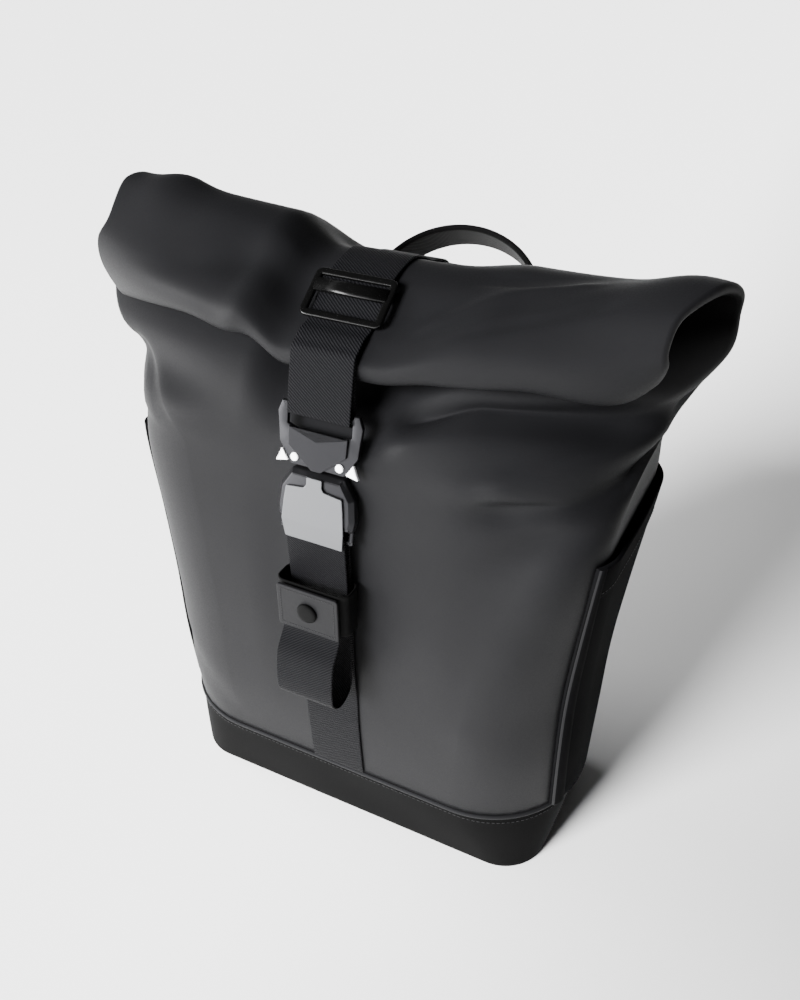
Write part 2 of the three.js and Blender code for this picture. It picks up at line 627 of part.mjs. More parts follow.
// The top strap: sewn to the back, over the roll, through the slider, round the buckle's upper bar
// and back up behind itself to the slider
function topStrap() {
  const lying = clearance + webbing / 2;
  const doubled = lying + webbing + clearance;
  const overRows = rowSteps(rowNamed('chest') - 0.5, rowNamed('fold') + 0.5, bodyRows);
  const downRows = rowSteps(rowNamed('face'), rowNamed('chin'), bodyRows);
  const over = offsetLine(middleLine(backMiddle, overRows), -lying);
  const down = offsetLine(middleLine(backMiddle, downRows), -doubled);
  const under = offsetLine(middleLine(backMiddle, downRows), -lying).toReversed();
  const turn = arc(0, 0, wrap, 180, 360, 8).map((point) => inBuckle(point.x, point.y));
  const half = sliderLength / 2;
  return ribbon([...over, sliderPoint(-half, strapLift), sliderPoint(half, strapLift), ...down, ...turn,
    ...under], webbing, webbingWidth);
}

// The slider: a flat frame with a middle bar over the strap, and a bar under the strap
function slider() {
  const half = sliderWidth / 2;
  const end = sliderLength / 2;
  const inner = webbingWidth / 2 + 2 * clearance;
  const slot = (start, stop) => [[-inner, start], [inner, start], [inner, stop], [-inner, stop]];
  const top = strapLift + webbing / 2 + clearance;
  const corner = 3;
  const outline = roundedRectangle(half, end, corner, 3).map((point) => [point.x, point.y]);
  const holes = [slot(-end + sliderBar, -sliderBar / 2), slot(sliderBar / 2, end - sliderBar)];
  const frame = plate(outline, sliderThickness, -top, holes);
  const underHeight = top + sliderThickness / 2 - clearance;
  const under = plate(slot(-sliderBar / 2, sliderBar / 2).map(([x, z]) => [x * half / inner, z]),
    underHeight, -clearance);
  const strapRoom = plate([[-inner, -end], [inner, -end], [inner, end], [-inner, end]],
    top - clearance - sliderUnderBar, -clearance - sliderUnderBar);
  const joined = solid(under).subtract(solid(strapRoom)).add(solid(frame));
  const geometry = fromSolid(joined);
  const place = new THREE.Matrix4().makeBasis(axisX, new THREE.Vector3(0, -sliderOut.x, -sliderOut.y),
    new THREE.Vector3(0, -sliderAlong.x, -sliderAlong.y));
  geometry.applyMatrix4(place);
  geometry.translate(0, sliderSkin[1].x, sliderSkin[1].y);
  return geometry;
}

// Mirrors the right half of an outline to the left, from the top down and back up
function mirrored(right) {
  return [...right, ...right.toReversed().map(([x, z]) => [-x, z])];
}

const rail = webbingWidth / 2 + 2 * clearance;    // half the room between a buckle's rails
const barStep = 0.7;                              // the lugs rise this far outside that room
const frameFront = -bar / 2;
const frameSlope = [[frameWidth / 2 - 1.8, -0.63 * frameLength], [frameWidth / 2 - 9.8, -frameLength]];

// A circle's points round (x, z)
function disc(radius, sides, x, z) {
  return arc(x, z, radius, 0, 360, sides).slice(1).map((point) => [point.x, point.y]);
}

// The buckle's upper frame: two lugs, the bar between them and a plate that narrows downwards
function buckleFrame() {
  const half = frameWidth / 2;
  const outline = mirrored([[rail + barStep, bar / 2], [rail + barStep + 0.3, lugRise], [half - 2.5, lugRise],
    [half, -0.1 * frameLength], [half - 1, -0.36 * frameLength], ...frameSlope]);
  const windowTop = -bar / 2;
  const opening = [[-rail, windowTop], [rail, windowTop], [rail, -windowLength],
    [0, -windowLength - windowPoint], [-rail, -windowLength]];
  return plate(outline, bar, bar / 2, [opening]);
}

function bucklePlate() {
  const half = rail - 1.6;
  const point = [0, -windowLength - windowPoint - clearance];
  const right = [[half, -windowLength], [half - 0.4, -0.65 * frameLength], [3, -frameLength - 1]];
  return plate([point, ...mirrored(right)], plateThickness, frameFront - clearance);
}

function buckleDot(side) {
  const outline = disc(dotDiameter / 2, 16, side * (frameWidth / 2 - 12.4), -0.86 * frameLength);
  return plate(outline, dotHeight, frameFront - clearance);
}

const bodyTop = -frameLength - jointGap;
const bodyBottom = -buckleDrop + railLength;
const bodyFront = frameFront - bodyProud;
const bodyChamfer = 1.4;
const bodyNarrow = 8.5;                           // the body's top is this much narrower at each side
const shoulderDrop = 0.35 * (bodyTop - bodyBottom);

// The pale guide that lies along the slope of the frame's narrow end
function buckleGuide(side) {
  const [high, low] = frameSlope.map(([x, z]) => new THREE.Vector2(x, z));
  const along = low.clone().sub(high);
  const out = new THREE.Vector2(-along.y, along.x).setLength(1.2 * clearance);
  const seat = [0.3, 0.85].map((share) => high.clone().addScaledVector(along, share).add(out));
  const outline = [...seat.map(({ x, y }) => [x, y]), [frameWidth / 2 - 0.2, -frameLength]];
  return plate(outline.map(([x, z]) => [side * x, z]), guideThickness, 0);
}

// The buckle's lower body: a faceted block, with rails and a bar below it for the webbing
function buckleBody() {
  const half = bodyWidth / 2;
  const shoulder = half - bodyChamfer;
  const block = plate(mirrored([[half - bodyNarrow, bodyTop], [shoulder, bodyTop - shoulderDrop],
    [half, bodyBottom + railLength], [shoulder, bodyBottom]]), bodyThickness, bodyFront + bodyThickness);
  const room = buckleDrop - wrap - webbing / 2 - clearance;
  const barTop = -buckleDrop + bar / 2;
  const hole = [[-rail, -room], [-rail, barTop], [rail, barTop], [rail, -room]];
  const rails = plate(mirrored([[shoulder, bodyBottom + 5], [shoulder - 0.4, -buckleDrop - bar / 2]]), bar,
    lowerBarBack + bar / 2, [hole]);
  const through = 4 * bodyThickness;
  const webbingRoom = plate([[-rail, -room], [-rail, -buckleDrop], [rail, -buckleDrop], [rail, -room]],
    through, through / 2);
  const cut = solid(block).subtract(solid(webbingRoom));
  return fromSolid(cut.add(solid(rails)));
}

// The flap on the body's front: flat, with a tongue at its top and a curl at its lower end
function buckleFlap() {
  const half = flapWidth / 2;
  const middle = bodyFront - clearance - flapThickness / 2;
  const curlStart = bodyBottom + 3;
  const line = [new THREE.Vector2(middle, bodyTop),
    ...arc(middle + flapCurl, curlStart, flapCurl, 180, 180 + flapTurn, 4)];
  const last = line.at(-1);
  const slope = Math.tan(THREE.MathUtils.degToRad(flapTurn));
  line.push(new THREE.Vector2(last.x + flapFall * slope, last.y - flapFall));
  const bent = ribbon(line, flapThickness, flapWidth + 2);
  const tongue = 5;
  const shoulder = bodyTop - 10.4;
  const outline = mirrored([[tongue, bodyTop - 1.9], [tongue, shoulder], [half - 2.2, shoulder],
    [half, bodyBottom], [half - 1.5, last.y - flapFall]]);
  return fromSolid(solid(bent).intersect(solid(plate(outline, 2 * flapCurl, flapCurl))));
}

const keeperTop = buckleHeight - keeperDrop;
const keeperBottom = keeperTop - keeperHeight;
const loopBottom = keeperTop - loopDrop;
const keeperMiddle = -keeperStand - keeperDepth / 2;
const keeperFront = keeperMiddle - keeperDepth / 2;
const rearLayer = -keeperStand - keeperWall - 2 * clearance - webbing / 2;
const frontLayer = rearLayer - webbing - 4 * clearance;
const loopMiddle = frontLayer - loopRadius - 2 * clearance;
const tailMiddle = keeperFront - clearance - webbing / 2;
const tabBack = tailMiddle - webbing / 2 - clearance;
const tabMiddleZ = keeperTop - tabHeight / 2 - 0.5;

// The lower strap: sewn to the front above the seam, up to the lower bar, round it, down through
// the keeper, and forward and up again in a hanging loop that ends behind the snap tab
function lowerStrap() {
  const lying = clearance + webbing / 2;
  const sewnRows = [0.05, ...rowSteps(0.5, rowNamed('waist') - 0.5, bodyRows)];
  const sewn = offsetLine(middleLine(frontMiddle, sewnRows), lying);
  const up = [new THREE.Vector2(rearLayer + clearance, loopBottom + 17),
    new THREE.Vector2(rearLayer, keeperBottom), new THREE.Vector2(rearLayer, keeperTop)];
  const turn = arc(lowerBarBack, -buckleDrop, wrap, 0, 180, 8).map((point) => inBuckle(point.x, point.y));
  const downFront = [new THREE.Vector2(frontLayer - webbing, keeperTop),
    new THREE.Vector2(frontLayer, keeperBottom), new THREE.Vector2(frontLayer + clearance, loopBottom + 32),
    new THREE.Vector2(frontLayer - clearance, loopBottom + 17)];
  const loop = arc(loopMiddle, loopBottom + loopRadius + webbing / 2, loopRadius, -10, -170, 8);
  const tail = [new THREE.Vector2(loopMiddle - loopRadius, loopBottom + 22),
    new THREE.Vector2(loopMiddle - 0.8 * loopRadius, loopBottom + 38),
    new THREE.Vector2(tailMiddle - 2.4, keeperBottom - 8), new THREE.Vector2(tailMiddle, keeperBottom - 1),
    new THREE.Vector2(tailMiddle, keeperTop - 4)];
  return ribbon([...sewn, ...up, ...turn, ...downFront, ...loop, ...tail], webbing, webbingWidth);
}

// The keeper: a flat sleeve round the strap's layers
function keeper() {
  const half = webbingWidth / 2 + keeperRoom;
  const ringOf = (inset) => roundedRectangle(half - inset, keeperDepth / 2 - inset, keeperDepth / 3 - inset, 4)
    .map((point) => [point.x, point.y + keeperMiddle]);
  const levels = [keeperBottom, keeperTop];
  const grid = (inset) => levels.map((z) => ringOf(inset).map(([x, y]) => new THREE.Vector3(x, y, z)));
  return walled(grid(0), grid(keeperWall), true);
}

function snapTab() {
  const outline = roundedRectangle(tabWidth / 2, tabHeight / 2, 2, 3).map(
    (point) => [point.x, point.y + tabMiddleZ]);
  return plate(outline, tabThickness, tabBack);
}

function snapButton() {
  return plate(disc(buttonDiameter / 2, 24, 0, tabMiddleZ), buttonThickness, tabBack - tabThickness - clearance);
}

// The carry handle: a webbing arch that leans back, its feet cut off along the back of the bag
function carryHandle() {
  const lean = THREE.MathUtils.degToRad(handleLean);
  const up = new THREE.Vector3(0, Math.sin(lean), Math.cos(lean));
  const side = new THREE.Vector3(0, Math.cos(lean), -Math.sin(lean));
  const backAt = (z) => skin(rowAt(z, backMiddle), backMiddle, 0).y + clearance + footSeat;
  const foot = bagHeight - handleDrop;
  const start = new THREE.Vector3(0, backAt(foot), foot).addScaledVector(side, handleWidth / 2);
  const steps = 20;
  const arch = Array.from({ length: steps + 1 }, (_, n) => {
    const angle = Math.PI * n / steps;
    return new THREE.Vector2(-handleSpan / 2 * Math.cos(angle), handleRise * Math.sin(angle));
  });
  const face = (lift) => offsetLine(arch, lift).map((point, n) => [-1, 1].map((edge) => {
    const place = start.clone().addScaledVector(axisX, point.x).addScaledVector(up, point.y);
    place.addScaledVector(side, edge * handleWidth / 2);
    place.x += handleShift;
    if (n === 0 || n === steps) {
      for (let pass = 0; pass < 8; pass += 1) {
        place.addScaledVector(up, (backAt(place.z) - place.y) / up.y);
      }
    }
    return place;
  }));
  return walled(face(handleThickness / 2), face(-handleThickness / 2), false);
}

// A shoulder strap: a padded band down the back, with a webbing tail from its lower end to the base.
// up is a share of the pad's height, and out a share of how far it stands off the back.
const padCurve = [
  { name: 'top', up: 1, out: 0.01 },
  { name: 'upper', up: 0.88, out: 0.5 },
  { name: 'bow', up: 0.68, out: 0.94 },
  { name: 'middle', up: 0.45, out: 1 },
  { name: 'lower', up: 0.21, out: 0.75 },
  { name: 'bottom', up: 0, out: 0.44 },
];

function offBack(out, z) {
  return new THREE.Vector2(skin(rowAt(z, backMiddle), backMiddle, 0).y + clearance + out, z);
}

function shoulderPad(side) {
  const line = padCurve.map(({ up, out }) => offBack(padThickness / 2 + out * padBow,
    THREE.MathUtils.lerp(padBottom, bagHeight - padDrop, up)));
  return ribbon(new THREE.SplineCurve(line).getPoints(14), padThickness, padWidth, side * padSpacing / 2);
}

function strapTail(side) {
  const start = offBack(padThickness / 2 + tailOut, padBottom + 2 * clearance);
  const middle = new THREE.Vector2(start.x - tailOut, (padBottom + seamHeight) / 2);
  const end = [seamHeight + 10, seamHeight + 2 * clearance].map((z) => offBack(webbing / 2, z));
  return ribbon([start, middle, ...end], webbing, tailWidth, side * padSpacing / 2);
}

add('body_shell', bodyShell(), 'cloth');
add('rolled_top', rolledTop(), 'cloth');
add('base_band', baseBand(), 'base');
add('seam_welt', seamWelt(), 'base');
for (const [name, side] of [['left', -1], ['right', 1]]) {
  add(`pocket_${name}`, pocket(side), 'cloth');
  add(`pocket_binding_${name}`, pocketBinding(side), 'cloth');
  add(`shoulder_pad_${name}`, shoulderPad(side), 'cloth');
  add(`strap_tail_${name}`, strapTail(side), 'webbing');
  add(`buckle_dot_${name}`, buckleDot(side), 'light', buckle);
  add(`buckle_guide_${name}`, buckleGuide(side), 'light', buckle);
}
add('top_strap', topStrap(), 'webbing');
add('slider', slider(), 'slider');
add('buckle_frame', buckleFrame(), 'frame', buckle);
add('buckle_plate', bucklePlate(), 'plate', buckle);
add('buckle_body', buckleBody(), 'frame', buckle);
add('buckle_flap', buckleFlap(), 'plate', buckle);
add('lower_strap', lowerStrap(), 'webbing');
add('keeper', keeper(), 'leather');
add('snap_tab', snapTab(), 'leather');
add('snap_button', snapButton(), 'button');
add('carry_handle', carryHandle(), 'webbing');

// The bag stands on the floor with the middle of its bounding box over the origin
const box = new THREE.Box3().setFromObject(bag);
bag.position.set(-(box.min.x + box.max.x) / 2, -(box.min.y + box.max.y) / 2, -box.min.z);

export default bag;
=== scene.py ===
# %% [markdown]
# # A rolltop backpack, dressed over its frame
# The CAD model gives every piece its place and size, in metres. Each cell below makes one piece or
# one finish. The cloth is worked out as smooth numpy surfaces from the same table of sections that
# the model uses, so the fine surface lies where the faceted one does.

# %% Load the frame
import math

import bpy
import numpy as np
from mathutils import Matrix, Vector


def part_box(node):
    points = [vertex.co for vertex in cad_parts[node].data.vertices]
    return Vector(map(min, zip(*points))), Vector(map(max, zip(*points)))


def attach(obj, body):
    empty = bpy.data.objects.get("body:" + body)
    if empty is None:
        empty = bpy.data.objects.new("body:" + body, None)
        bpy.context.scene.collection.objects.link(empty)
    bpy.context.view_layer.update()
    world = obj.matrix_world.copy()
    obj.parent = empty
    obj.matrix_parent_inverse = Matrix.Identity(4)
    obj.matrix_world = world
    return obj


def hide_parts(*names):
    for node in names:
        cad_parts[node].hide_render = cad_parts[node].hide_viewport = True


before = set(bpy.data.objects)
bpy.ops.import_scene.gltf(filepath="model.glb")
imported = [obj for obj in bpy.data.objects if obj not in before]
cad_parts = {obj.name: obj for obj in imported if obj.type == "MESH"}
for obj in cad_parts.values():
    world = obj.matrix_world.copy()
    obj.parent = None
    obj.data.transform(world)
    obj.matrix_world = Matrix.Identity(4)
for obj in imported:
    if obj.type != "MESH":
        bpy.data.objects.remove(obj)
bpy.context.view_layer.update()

# %% [markdown]
# ## The bag's own frame
# The pieces are drawn in millimetres from the foot of the strap's centre line, at the front of the
# base seam. The top strap and the welt of the CAD model show where that point lies.

# %% Own frame
MM = 0.001
WELT_STAND = 1.0
SIDES = (("left", -1), ("right", 1))
strap_low, strap_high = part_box("top_strap")
welt_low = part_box("seam_welt")[0]
HOME = np.array([(strap_low.x + strap_high.x) / 2, welt_low.y + WELT_STAND * MM, 0.0])


def to_frame(points):
    """Millimetres from the foot of the strap to metres in the shared frame."""
    return np.asarray(points, float) * MM + HOME


print("home", HOME)

# %% [markdown]
# ## Camera
# The photograph was taken from above and to the right, with a lens of about 35 mm. These values are
# a camera fitted to the webbing's width and the base's corners.

# %% Camera
AZIMUTH = 26.9
ELEVATION = 33.63
EYE = (250.0, -398.2, 594.9)
LENS = 34.72

camera_data = bpy.data.cameras.new("camera")
camera_data.sensor_fit = "AUTO"
camera_data.sensor_width = 36
camera_data.lens = LENS
camera_data.clip_end = 50
camera = bpy.data.objects.new("camera", camera_data)
bpy.context.scene.collection.objects.link(camera)
camera.location = to_frame(EYE)
camera.rotation_euler = (math.radians(90 - ELEVATION), 0, math.radians(AZIMUTH))
bpy.context.scene.camera = camera

# %% [markdown]
# ## Small helpers
# A mesh is made from an array of points and an array of quads. A grid of points is the usual case:
# its faces follow from its size alone.

# %% Mesh helpers


def grid_faces(rows, columns, close_columns=False, close_rows=False):
    """Quads of a grid of rows x columns points, numbered row by row."""
    row = np.arange(rows if close_rows else rows - 1)[:, None]
    column = np.arange(columns if close_columns else columns - 1)[None, :]
    next_row = (row + 1) % rows
    next_column = (column + 1) % columns
    corners = (row * columns + column, row * columns + next_column,
               next_row * columns + next_column, next_row * columns + column)
    return np.stack([corner + 0 * row * column for corner in corners], axis=-1).reshape(-1, 4)


def signed_volume(points, faces):
    """Six times the volume inside quads: the sum of each half's triple product."""
    a, b, c, d = (points[faces[:, n]] for n in range(4))
    first = np.einsum("ij,ij->i", a, np.cross(b, c))
    second = np.einsum("ij,ij->i", a, np.cross(c, d))
    return first.sum() + second.sum()


def to_unit(vectors, least=0.0):
    """Vectors (..., n) of length one; a length under least is taken as least."""
    return vectors / np.maximum(np.linalg.norm(vectors, axis=-1, keepdims=True), least)


def run_along(line):
    """How far along a line each of its points lies."""
    return np.concatenate([[0], np.cumsum(np.linalg.norm(np.diff(line, axis=0), axis=1))])


def add_object(name, data):
    """An object of the scene that holds a mesh, a light or a camera."""
    added = bpy.data.objects.new(name, data)
    bpy.context.scene.collection.objects.link(added)
    return added


def make_piece(name, points, faces, material, slot, replaced=(), uv=None, sharp=None):
    """A closed piece in millimetres: faces turned outwards, smooth shading, UV per point in metres."""
    points = np.asarray(points, float).reshape(-1, 3)
    faces = np.asarray(faces, int)
    if signed_volume(points, faces) < 0:
        faces = faces[:, ::-1]
    mesh = bpy.data.meshes.new(name)
    mesh.from_pydata(to_frame(points).tolist(), [], faces.tolist())
    mesh.update()
    mesh.shade_smooth()
    if sharp is not None:
        mesh.set_sharp_from_angle(angle=math.radians(sharp))
    if uv is not None:
        layer = mesh.uv_layers.new(name="cloth")
        corner_points = np.empty(len(mesh.loops), int)
        mesh.loops.foreach_get("vertex_index", corner_points)
        layer.data.foreach_set("uv", np.asarray(uv, float).reshape(-1, 2)[corner_points].ravel())
    mesh.materials.append(material)
    piece = add_object(name, mesh)
    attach(piece, "root")
    if replaced:
        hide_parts(*replaced)
    return piece


def walled(outer, inner, closed):
    """Points and quads of a wall between two grids of the same size, with its rims."""
    rows, columns = outer.shape[:2]
    points = np.concatenate([outer.reshape(-1, 3), inner.reshape(-1, 3)])
    count = rows * columns
    outside = grid_faces(rows, columns, closed)
    inside = outside[:, ::-1] + count
    n = np.arange(columns if closed else columns - 1)
    following = (n + 1) % columns
    low = np.stack([following, n, n + count, following + count], axis=-1)
    top = (rows - 1) * columns
    high = np.stack([top + n, top + following, top + following + count, top + n + count], axis=-1)
    parts = [outside, inside, low, high]
    if not closed:
        m = np.arange(rows - 1) * columns
        left = np.stack([m, m + columns, m + columns + count, m + count], axis=-1)
        m = m + columns - 1
        right = np.stack([m + columns, m, m + count, m + columns + count], axis=-1)
        parts += [left, right]
    return points, np.concatenate(parts)


# %% [markdown]
# ## Materials
# Each finish starts from the real stuff: what it is, how it was made, and what that gives the eye.
# Colours are sRGB hex values, turned to linear here. One function adds any node with its settings.

# %% Material helpers


def hex_colour(text):
    """An sRGB hex value as a linear RGBA colour."""
    parts = [int(text[n:n + 2], 16) / 255 for n in (1, 3, 5)]
    return tuple(c / 12.92 if c <= 0.04045 else ((c + 0.055) / 1.055) ** 2.4 for c in parts) + (1.0,)


def add_node(tree, kind, inputs=None, **settings):
    """A node with its settings; an input given as a socket is linked, and any other is a value."""
    node = tree.nodes.new(kind)
    for name, value in settings.items():
        setattr(node, name, value)
    for key, value in (inputs or {}).items():
        if isinstance(value, bpy.types.NodeSocket):
            tree.links.new(value, node.inputs[key])
        else:
            node.inputs[key].default_value = value
    return node


def new_material(name, **values):
    """A material with one Principled shader; its plain values are set on the shader itself."""
    material = bpy.data.materials.new(name)
    material.use_nodes = True
    tree = material.node_tree
    shader = tree.nodes["Principled BSDF"]
    for key, value in values.items():
        shader.inputs[key.replace("_", " ")].default_value = value
    return material, tree, shader


def per_metre(size_mm):
    """A texture's scale so that one feature measures size_mm."""
    return 1000.0 / size_mm


def grain_bump(tree, shader, vector, size_mm, height_mm, roughness_spread=0.0, base_roughness=0.5):
    """Fine surface grain from noise, and the same noise a little in the roughness."""
    noise = add_node(tree, "ShaderNodeTexNoise",
                     {"Vector": vector, "Scale": per_metre(size_mm), "Detail": 3.0, "Roughness": 0.55})
    bump = add_node(tree, "ShaderNodeBump",
                    {"Height": noise.outputs["Fac"], "Strength": 1.0, "Distance": height_mm * MM})
    tree.links.new(bump.outputs["Normal"], shader.inputs["Normal"])
    if roughness_spread:
        spread = add_node(tree, "ShaderNodeMapRange",
                          {"Value": noise.outputs["Fac"], "From Min": 0.3, "From Max": 0.7,
                           "To Min": base_roughness - roughness_spread,
                           "To Max": base_roughness + roughness_spread})
        tree.links.new(spread.outputs["Result"], shader.inputs["Roughness"])
    return noise, bump


# %% [markdown]
# ### Coated polyester
# The body is polyester cloth with a matte polyurethane coat. The coat hides the threads, so the eye
# gets a soft, even charcoal with a faint leathery grain and slightly cloudy gloss. The base is a
# duller cloth of the same kind; the pockets and their binding are darker, duller copies of it as
# painted shade, and the piping has a little more gloss.

# %% Coated polyester
CLOUD_MM = 60
# the real grain is about 0.5 mm: drawn at 1 mm, because finer is lost between pixels
GRAIN_MM = 1.0
GRAIN_HEIGHT_MM = 0.035


def coated_polyester(name, colour, roughness, ior=1.22):
    material, tree, shader = new_material(name, Roughness=roughness, IOR=ior)
    place = add_node(tree, "ShaderNodeTexCoord").outputs["Object"]
    clouds = add_node(tree, "ShaderNodeTexNoise",
                      {"Vector": place, "Scale": per_metre(CLOUD_MM), "Detail": 2.0, "Roughness": 0.5})
    tint = add_node(tree, "ShaderNodeMix", {"Factor": clouds.outputs["Fac"]}, data_type="RGBA")
    tint.inputs["A"].default_value = hex_colour(colour[0])
    tint.inputs["B"].default_value = hex_colour(colour[1])
    tree.links.new(tint.outputs["Result"], shader.inputs["Base Color"])
    grain_bump(tree, shader, place, GRAIN_MM, GRAIN_HEIGHT_MM, 0.05, roughness)
    return material


body_cloth = coated_polyester("polyester_coated_charcoal", ("#09090a", "#0d0d0e"), 0.56)
# painted shade: deep in the roll, a shade kept with the mesh takes the coat's colour and gloss away
body_tree = body_cloth.node_tree
body_shader = body_tree.nodes["Principled BSDF"]
body_shade = add_node(body_tree, "ShaderNodeAttribute", attribute_name="shade").outputs["Fac"]
body_painted_shade_gloss = add_node(body_tree, "ShaderNodeMapRange", {"Value": body_shade, "To Min": 0.5, "To Max": 0.03})
body_tree.links.new(body_painted_shade_gloss.outputs["Result"], body_shader.inputs["Specular IOR Level"])
body_painted_shade_tint = add_node(body_tree, "ShaderNodeMix",
                     {"Factor": body_shade, "A": body_shader.inputs["Base Color"].links[0].from_socket},
                     data_type="RGBA")
body_painted_shade_tint.inputs["B"].default_value = hex_colour("#010101")
body_tree.links.new(body_painted_shade_tint.outputs["Result"], body_shader.inputs["Base Color"])
base_cloth = coated_polyester("polyester_coated_base", ("#050505", "#080808"), 0.74, 1.1)
# painted shade: the pockets and their binding are darker, duller copies of the coat for the shaded sides
pocket_cloth_painted_shade = coated_polyester("polyester_pocket_painted_shade", ("#060607", "#0a0a0a"), 0.9, 1.08)
binding_cloth_painted_shade = coated_polyester("polyester_binding_painted_shade", ("#060607", "#090909"), 0.85, 1.08)
# the piping's cloth, also laid on the pocket binding's front edge as a painted highlight
piping_and_highlight_cloth = coated_polyester("polyester_coated_piping", ("#0f0f10", "#131314"), 0.6, 1.22)

# %% [markdown]
# ### Webbing
# The straps are polyester webbing, woven as a twill: fine diagonal ribs 1.5 mm apart, with a dull
# shine on each thread. The pattern follows the strap through its UV map, which is in metres.

# %% Webbing


RIB_MM = 1.5
FUZZ_MM = 0.9
RIB_LEAN = math.radians(52)


def twill_webbing(name, colour, height_mm):
    material, tree, shader = new_material(name, Roughness=0.6, IOR=1.14)
    uv = add_node(tree, "ShaderNodeUVMap", uv_map="cloth").outputs["UV"]
    turned = add_node(tree, "ShaderNodeMapping",
                      {"Vector": uv, "Rotation": (0, 0, RIB_LEAN)}).outputs["Vector"]
    # a wave texture's period is tau / 20 of its scaled coordinate
    ribs = add_node(tree, "ShaderNodeTexWave",
                    {"Vector": turned, "Scale": per_metre(RIB_MM) * math.tau / 20,
                     "Distortion": 0.7, "Detail": 1.0, "Detail Scale": 2.0},
                    wave_type="BANDS", bands_direction="X", wave_profile="SIN")
    fuzz = add_node(tree, "ShaderNodeTexNoise", {"Vector": uv, "Scale": per_metre(FUZZ_MM), "Detail": 2.0})
    both = add_node(tree, "ShaderNodeMath", {0: ribs.outputs["Fac"], 1: fuzz.outputs["Fac"]},
                    operation="MULTIPLY")
    tint = add_node(tree, "ShaderNodeMix", {"Factor": both.outputs["Value"]}, data_type="RGBA")
    tint.inputs["A"].default_value = hex_colour(colour[0])
    tint.inputs["B"].default_value = hex_colour(colour[1])
    tree.links.new(tint.outputs["Result"], shader.inputs["Base Color"])
    bump = add_node(tree, "ShaderNodeBump",
                    {"Height": both.outputs["Value"], "Strength": 1.0, "Distance": height_mm * MM})
    tree.links.new(bump.outputs["Normal"], shader.inputs["Normal"])
    return material


strap_webbing = twill_webbing("polyester_webbing_black", ("#040405", "#161617"), 0.5)
handle_webbing = twill_webbing("polyester_webbing_handle", ("#040404", "#0b0b0b"), 0.2)

# %% [markdown]
# ### Moulded plastic, metal and leather
# The strap slider is moulded black ABS, with a soft gloss. The buckle and its plate are die-cast
# zinc with a dark satin coat, and its flap is satin aluminium. The marks are white acetal. The
# sleeve and the tab are microfibre leather, matte with a pebble grain; the sleeve's copy is drawn
# darker as painted shade. The pads are knitted mesh.

# %% Hard finishes


def moulded(name, colour, roughness, grain_mm=0.8, height_mm=0.01, **values):
    material, tree, shader = new_material(name, Base_Color=hex_colour(colour), Roughness=roughness, **values)
    place = add_node(tree, "ShaderNodeTexCoord").outputs["Object"]
    grain_bump(tree, shader, place, grain_mm, height_mm, 0.04, roughness)
    return material


slider_abs = moulded("abs_gloss_black", "#030303", 0.24, 3.0, 0.008, IOR=1.5)
white_acetal = moulded("acetal_white", "#f4f4f5", 0.35, 1.5, 0.008, IOR=1.48)
zinc_grey = moulded("zinc_diecast_dark_satin", "#2e2e30", 0.34, 0.9, 0.012, Metallic=0.9)
aluminium_satin = moulded("aluminium_satin", "#68696b", 0.36, 0.9, 0.01, Metallic=0.9)
zinc_plate = moulded("zinc_plate_dark_satin", "#222224", 0.36, 0.9, 0.012, Metallic=0.85)
snap_brass = moulded("brass_snap_dark_grey", "#040404", 0.55, 1.0, 0.01, IOR=1.14)
microfibre = moulded("leather_microfibre_grey", "#0c0c0d", 0.6, 1.3, 0.05, IOR=1.26)
# painted shade: a darker copy of the microfibre for the keeper sleeve
sleeve_fibre_painted_shade = moulded("leather_microfibre_painted_shade", "#060606", 0.7, 1.3, 0.05, IOR=1.14)
thread = moulded("polyester_thread_black", "#0c0c0d", 0.6, 0.8, 0.02)
pad_mesh = moulded("polyester_air_mesh", "#0d0d0e", 0.75, 1.6, 0.2, Sheen_Weight=0.15)

# %% [markdown]
# ## The cloth surface
# One table describes the cloth tube from the base seam, up the body, over the top and down to the
# rolled edge. Each row holds shares of a few named sizes, and a smooth curve joins the rows. The
# surface is then a function of two things: the row, and the place round the tube.

# %% Sizes of the bag
BAG_WIDTH = 307.0
BAG_DEPTH = 142.0
BAG_HEIGHT = 425.0
ROLL_WIDTH = 392.0
SEAM = 59.0
CLEAR = 0.3
CLOTH = 1.5
STRAP_SINK = 25.0
STRAP_FLAT = 27.5
LEFT_FADE = STRAP_FLAT + 32
RIGHT_FADE = STRAP_FLAT + 60
LEFT_CORNER = 68.0
SHELL_BOTTOM = SEAM + CLEAR
SHELL_RISE = BAG_HEIGHT - SHELL_BOTTOM

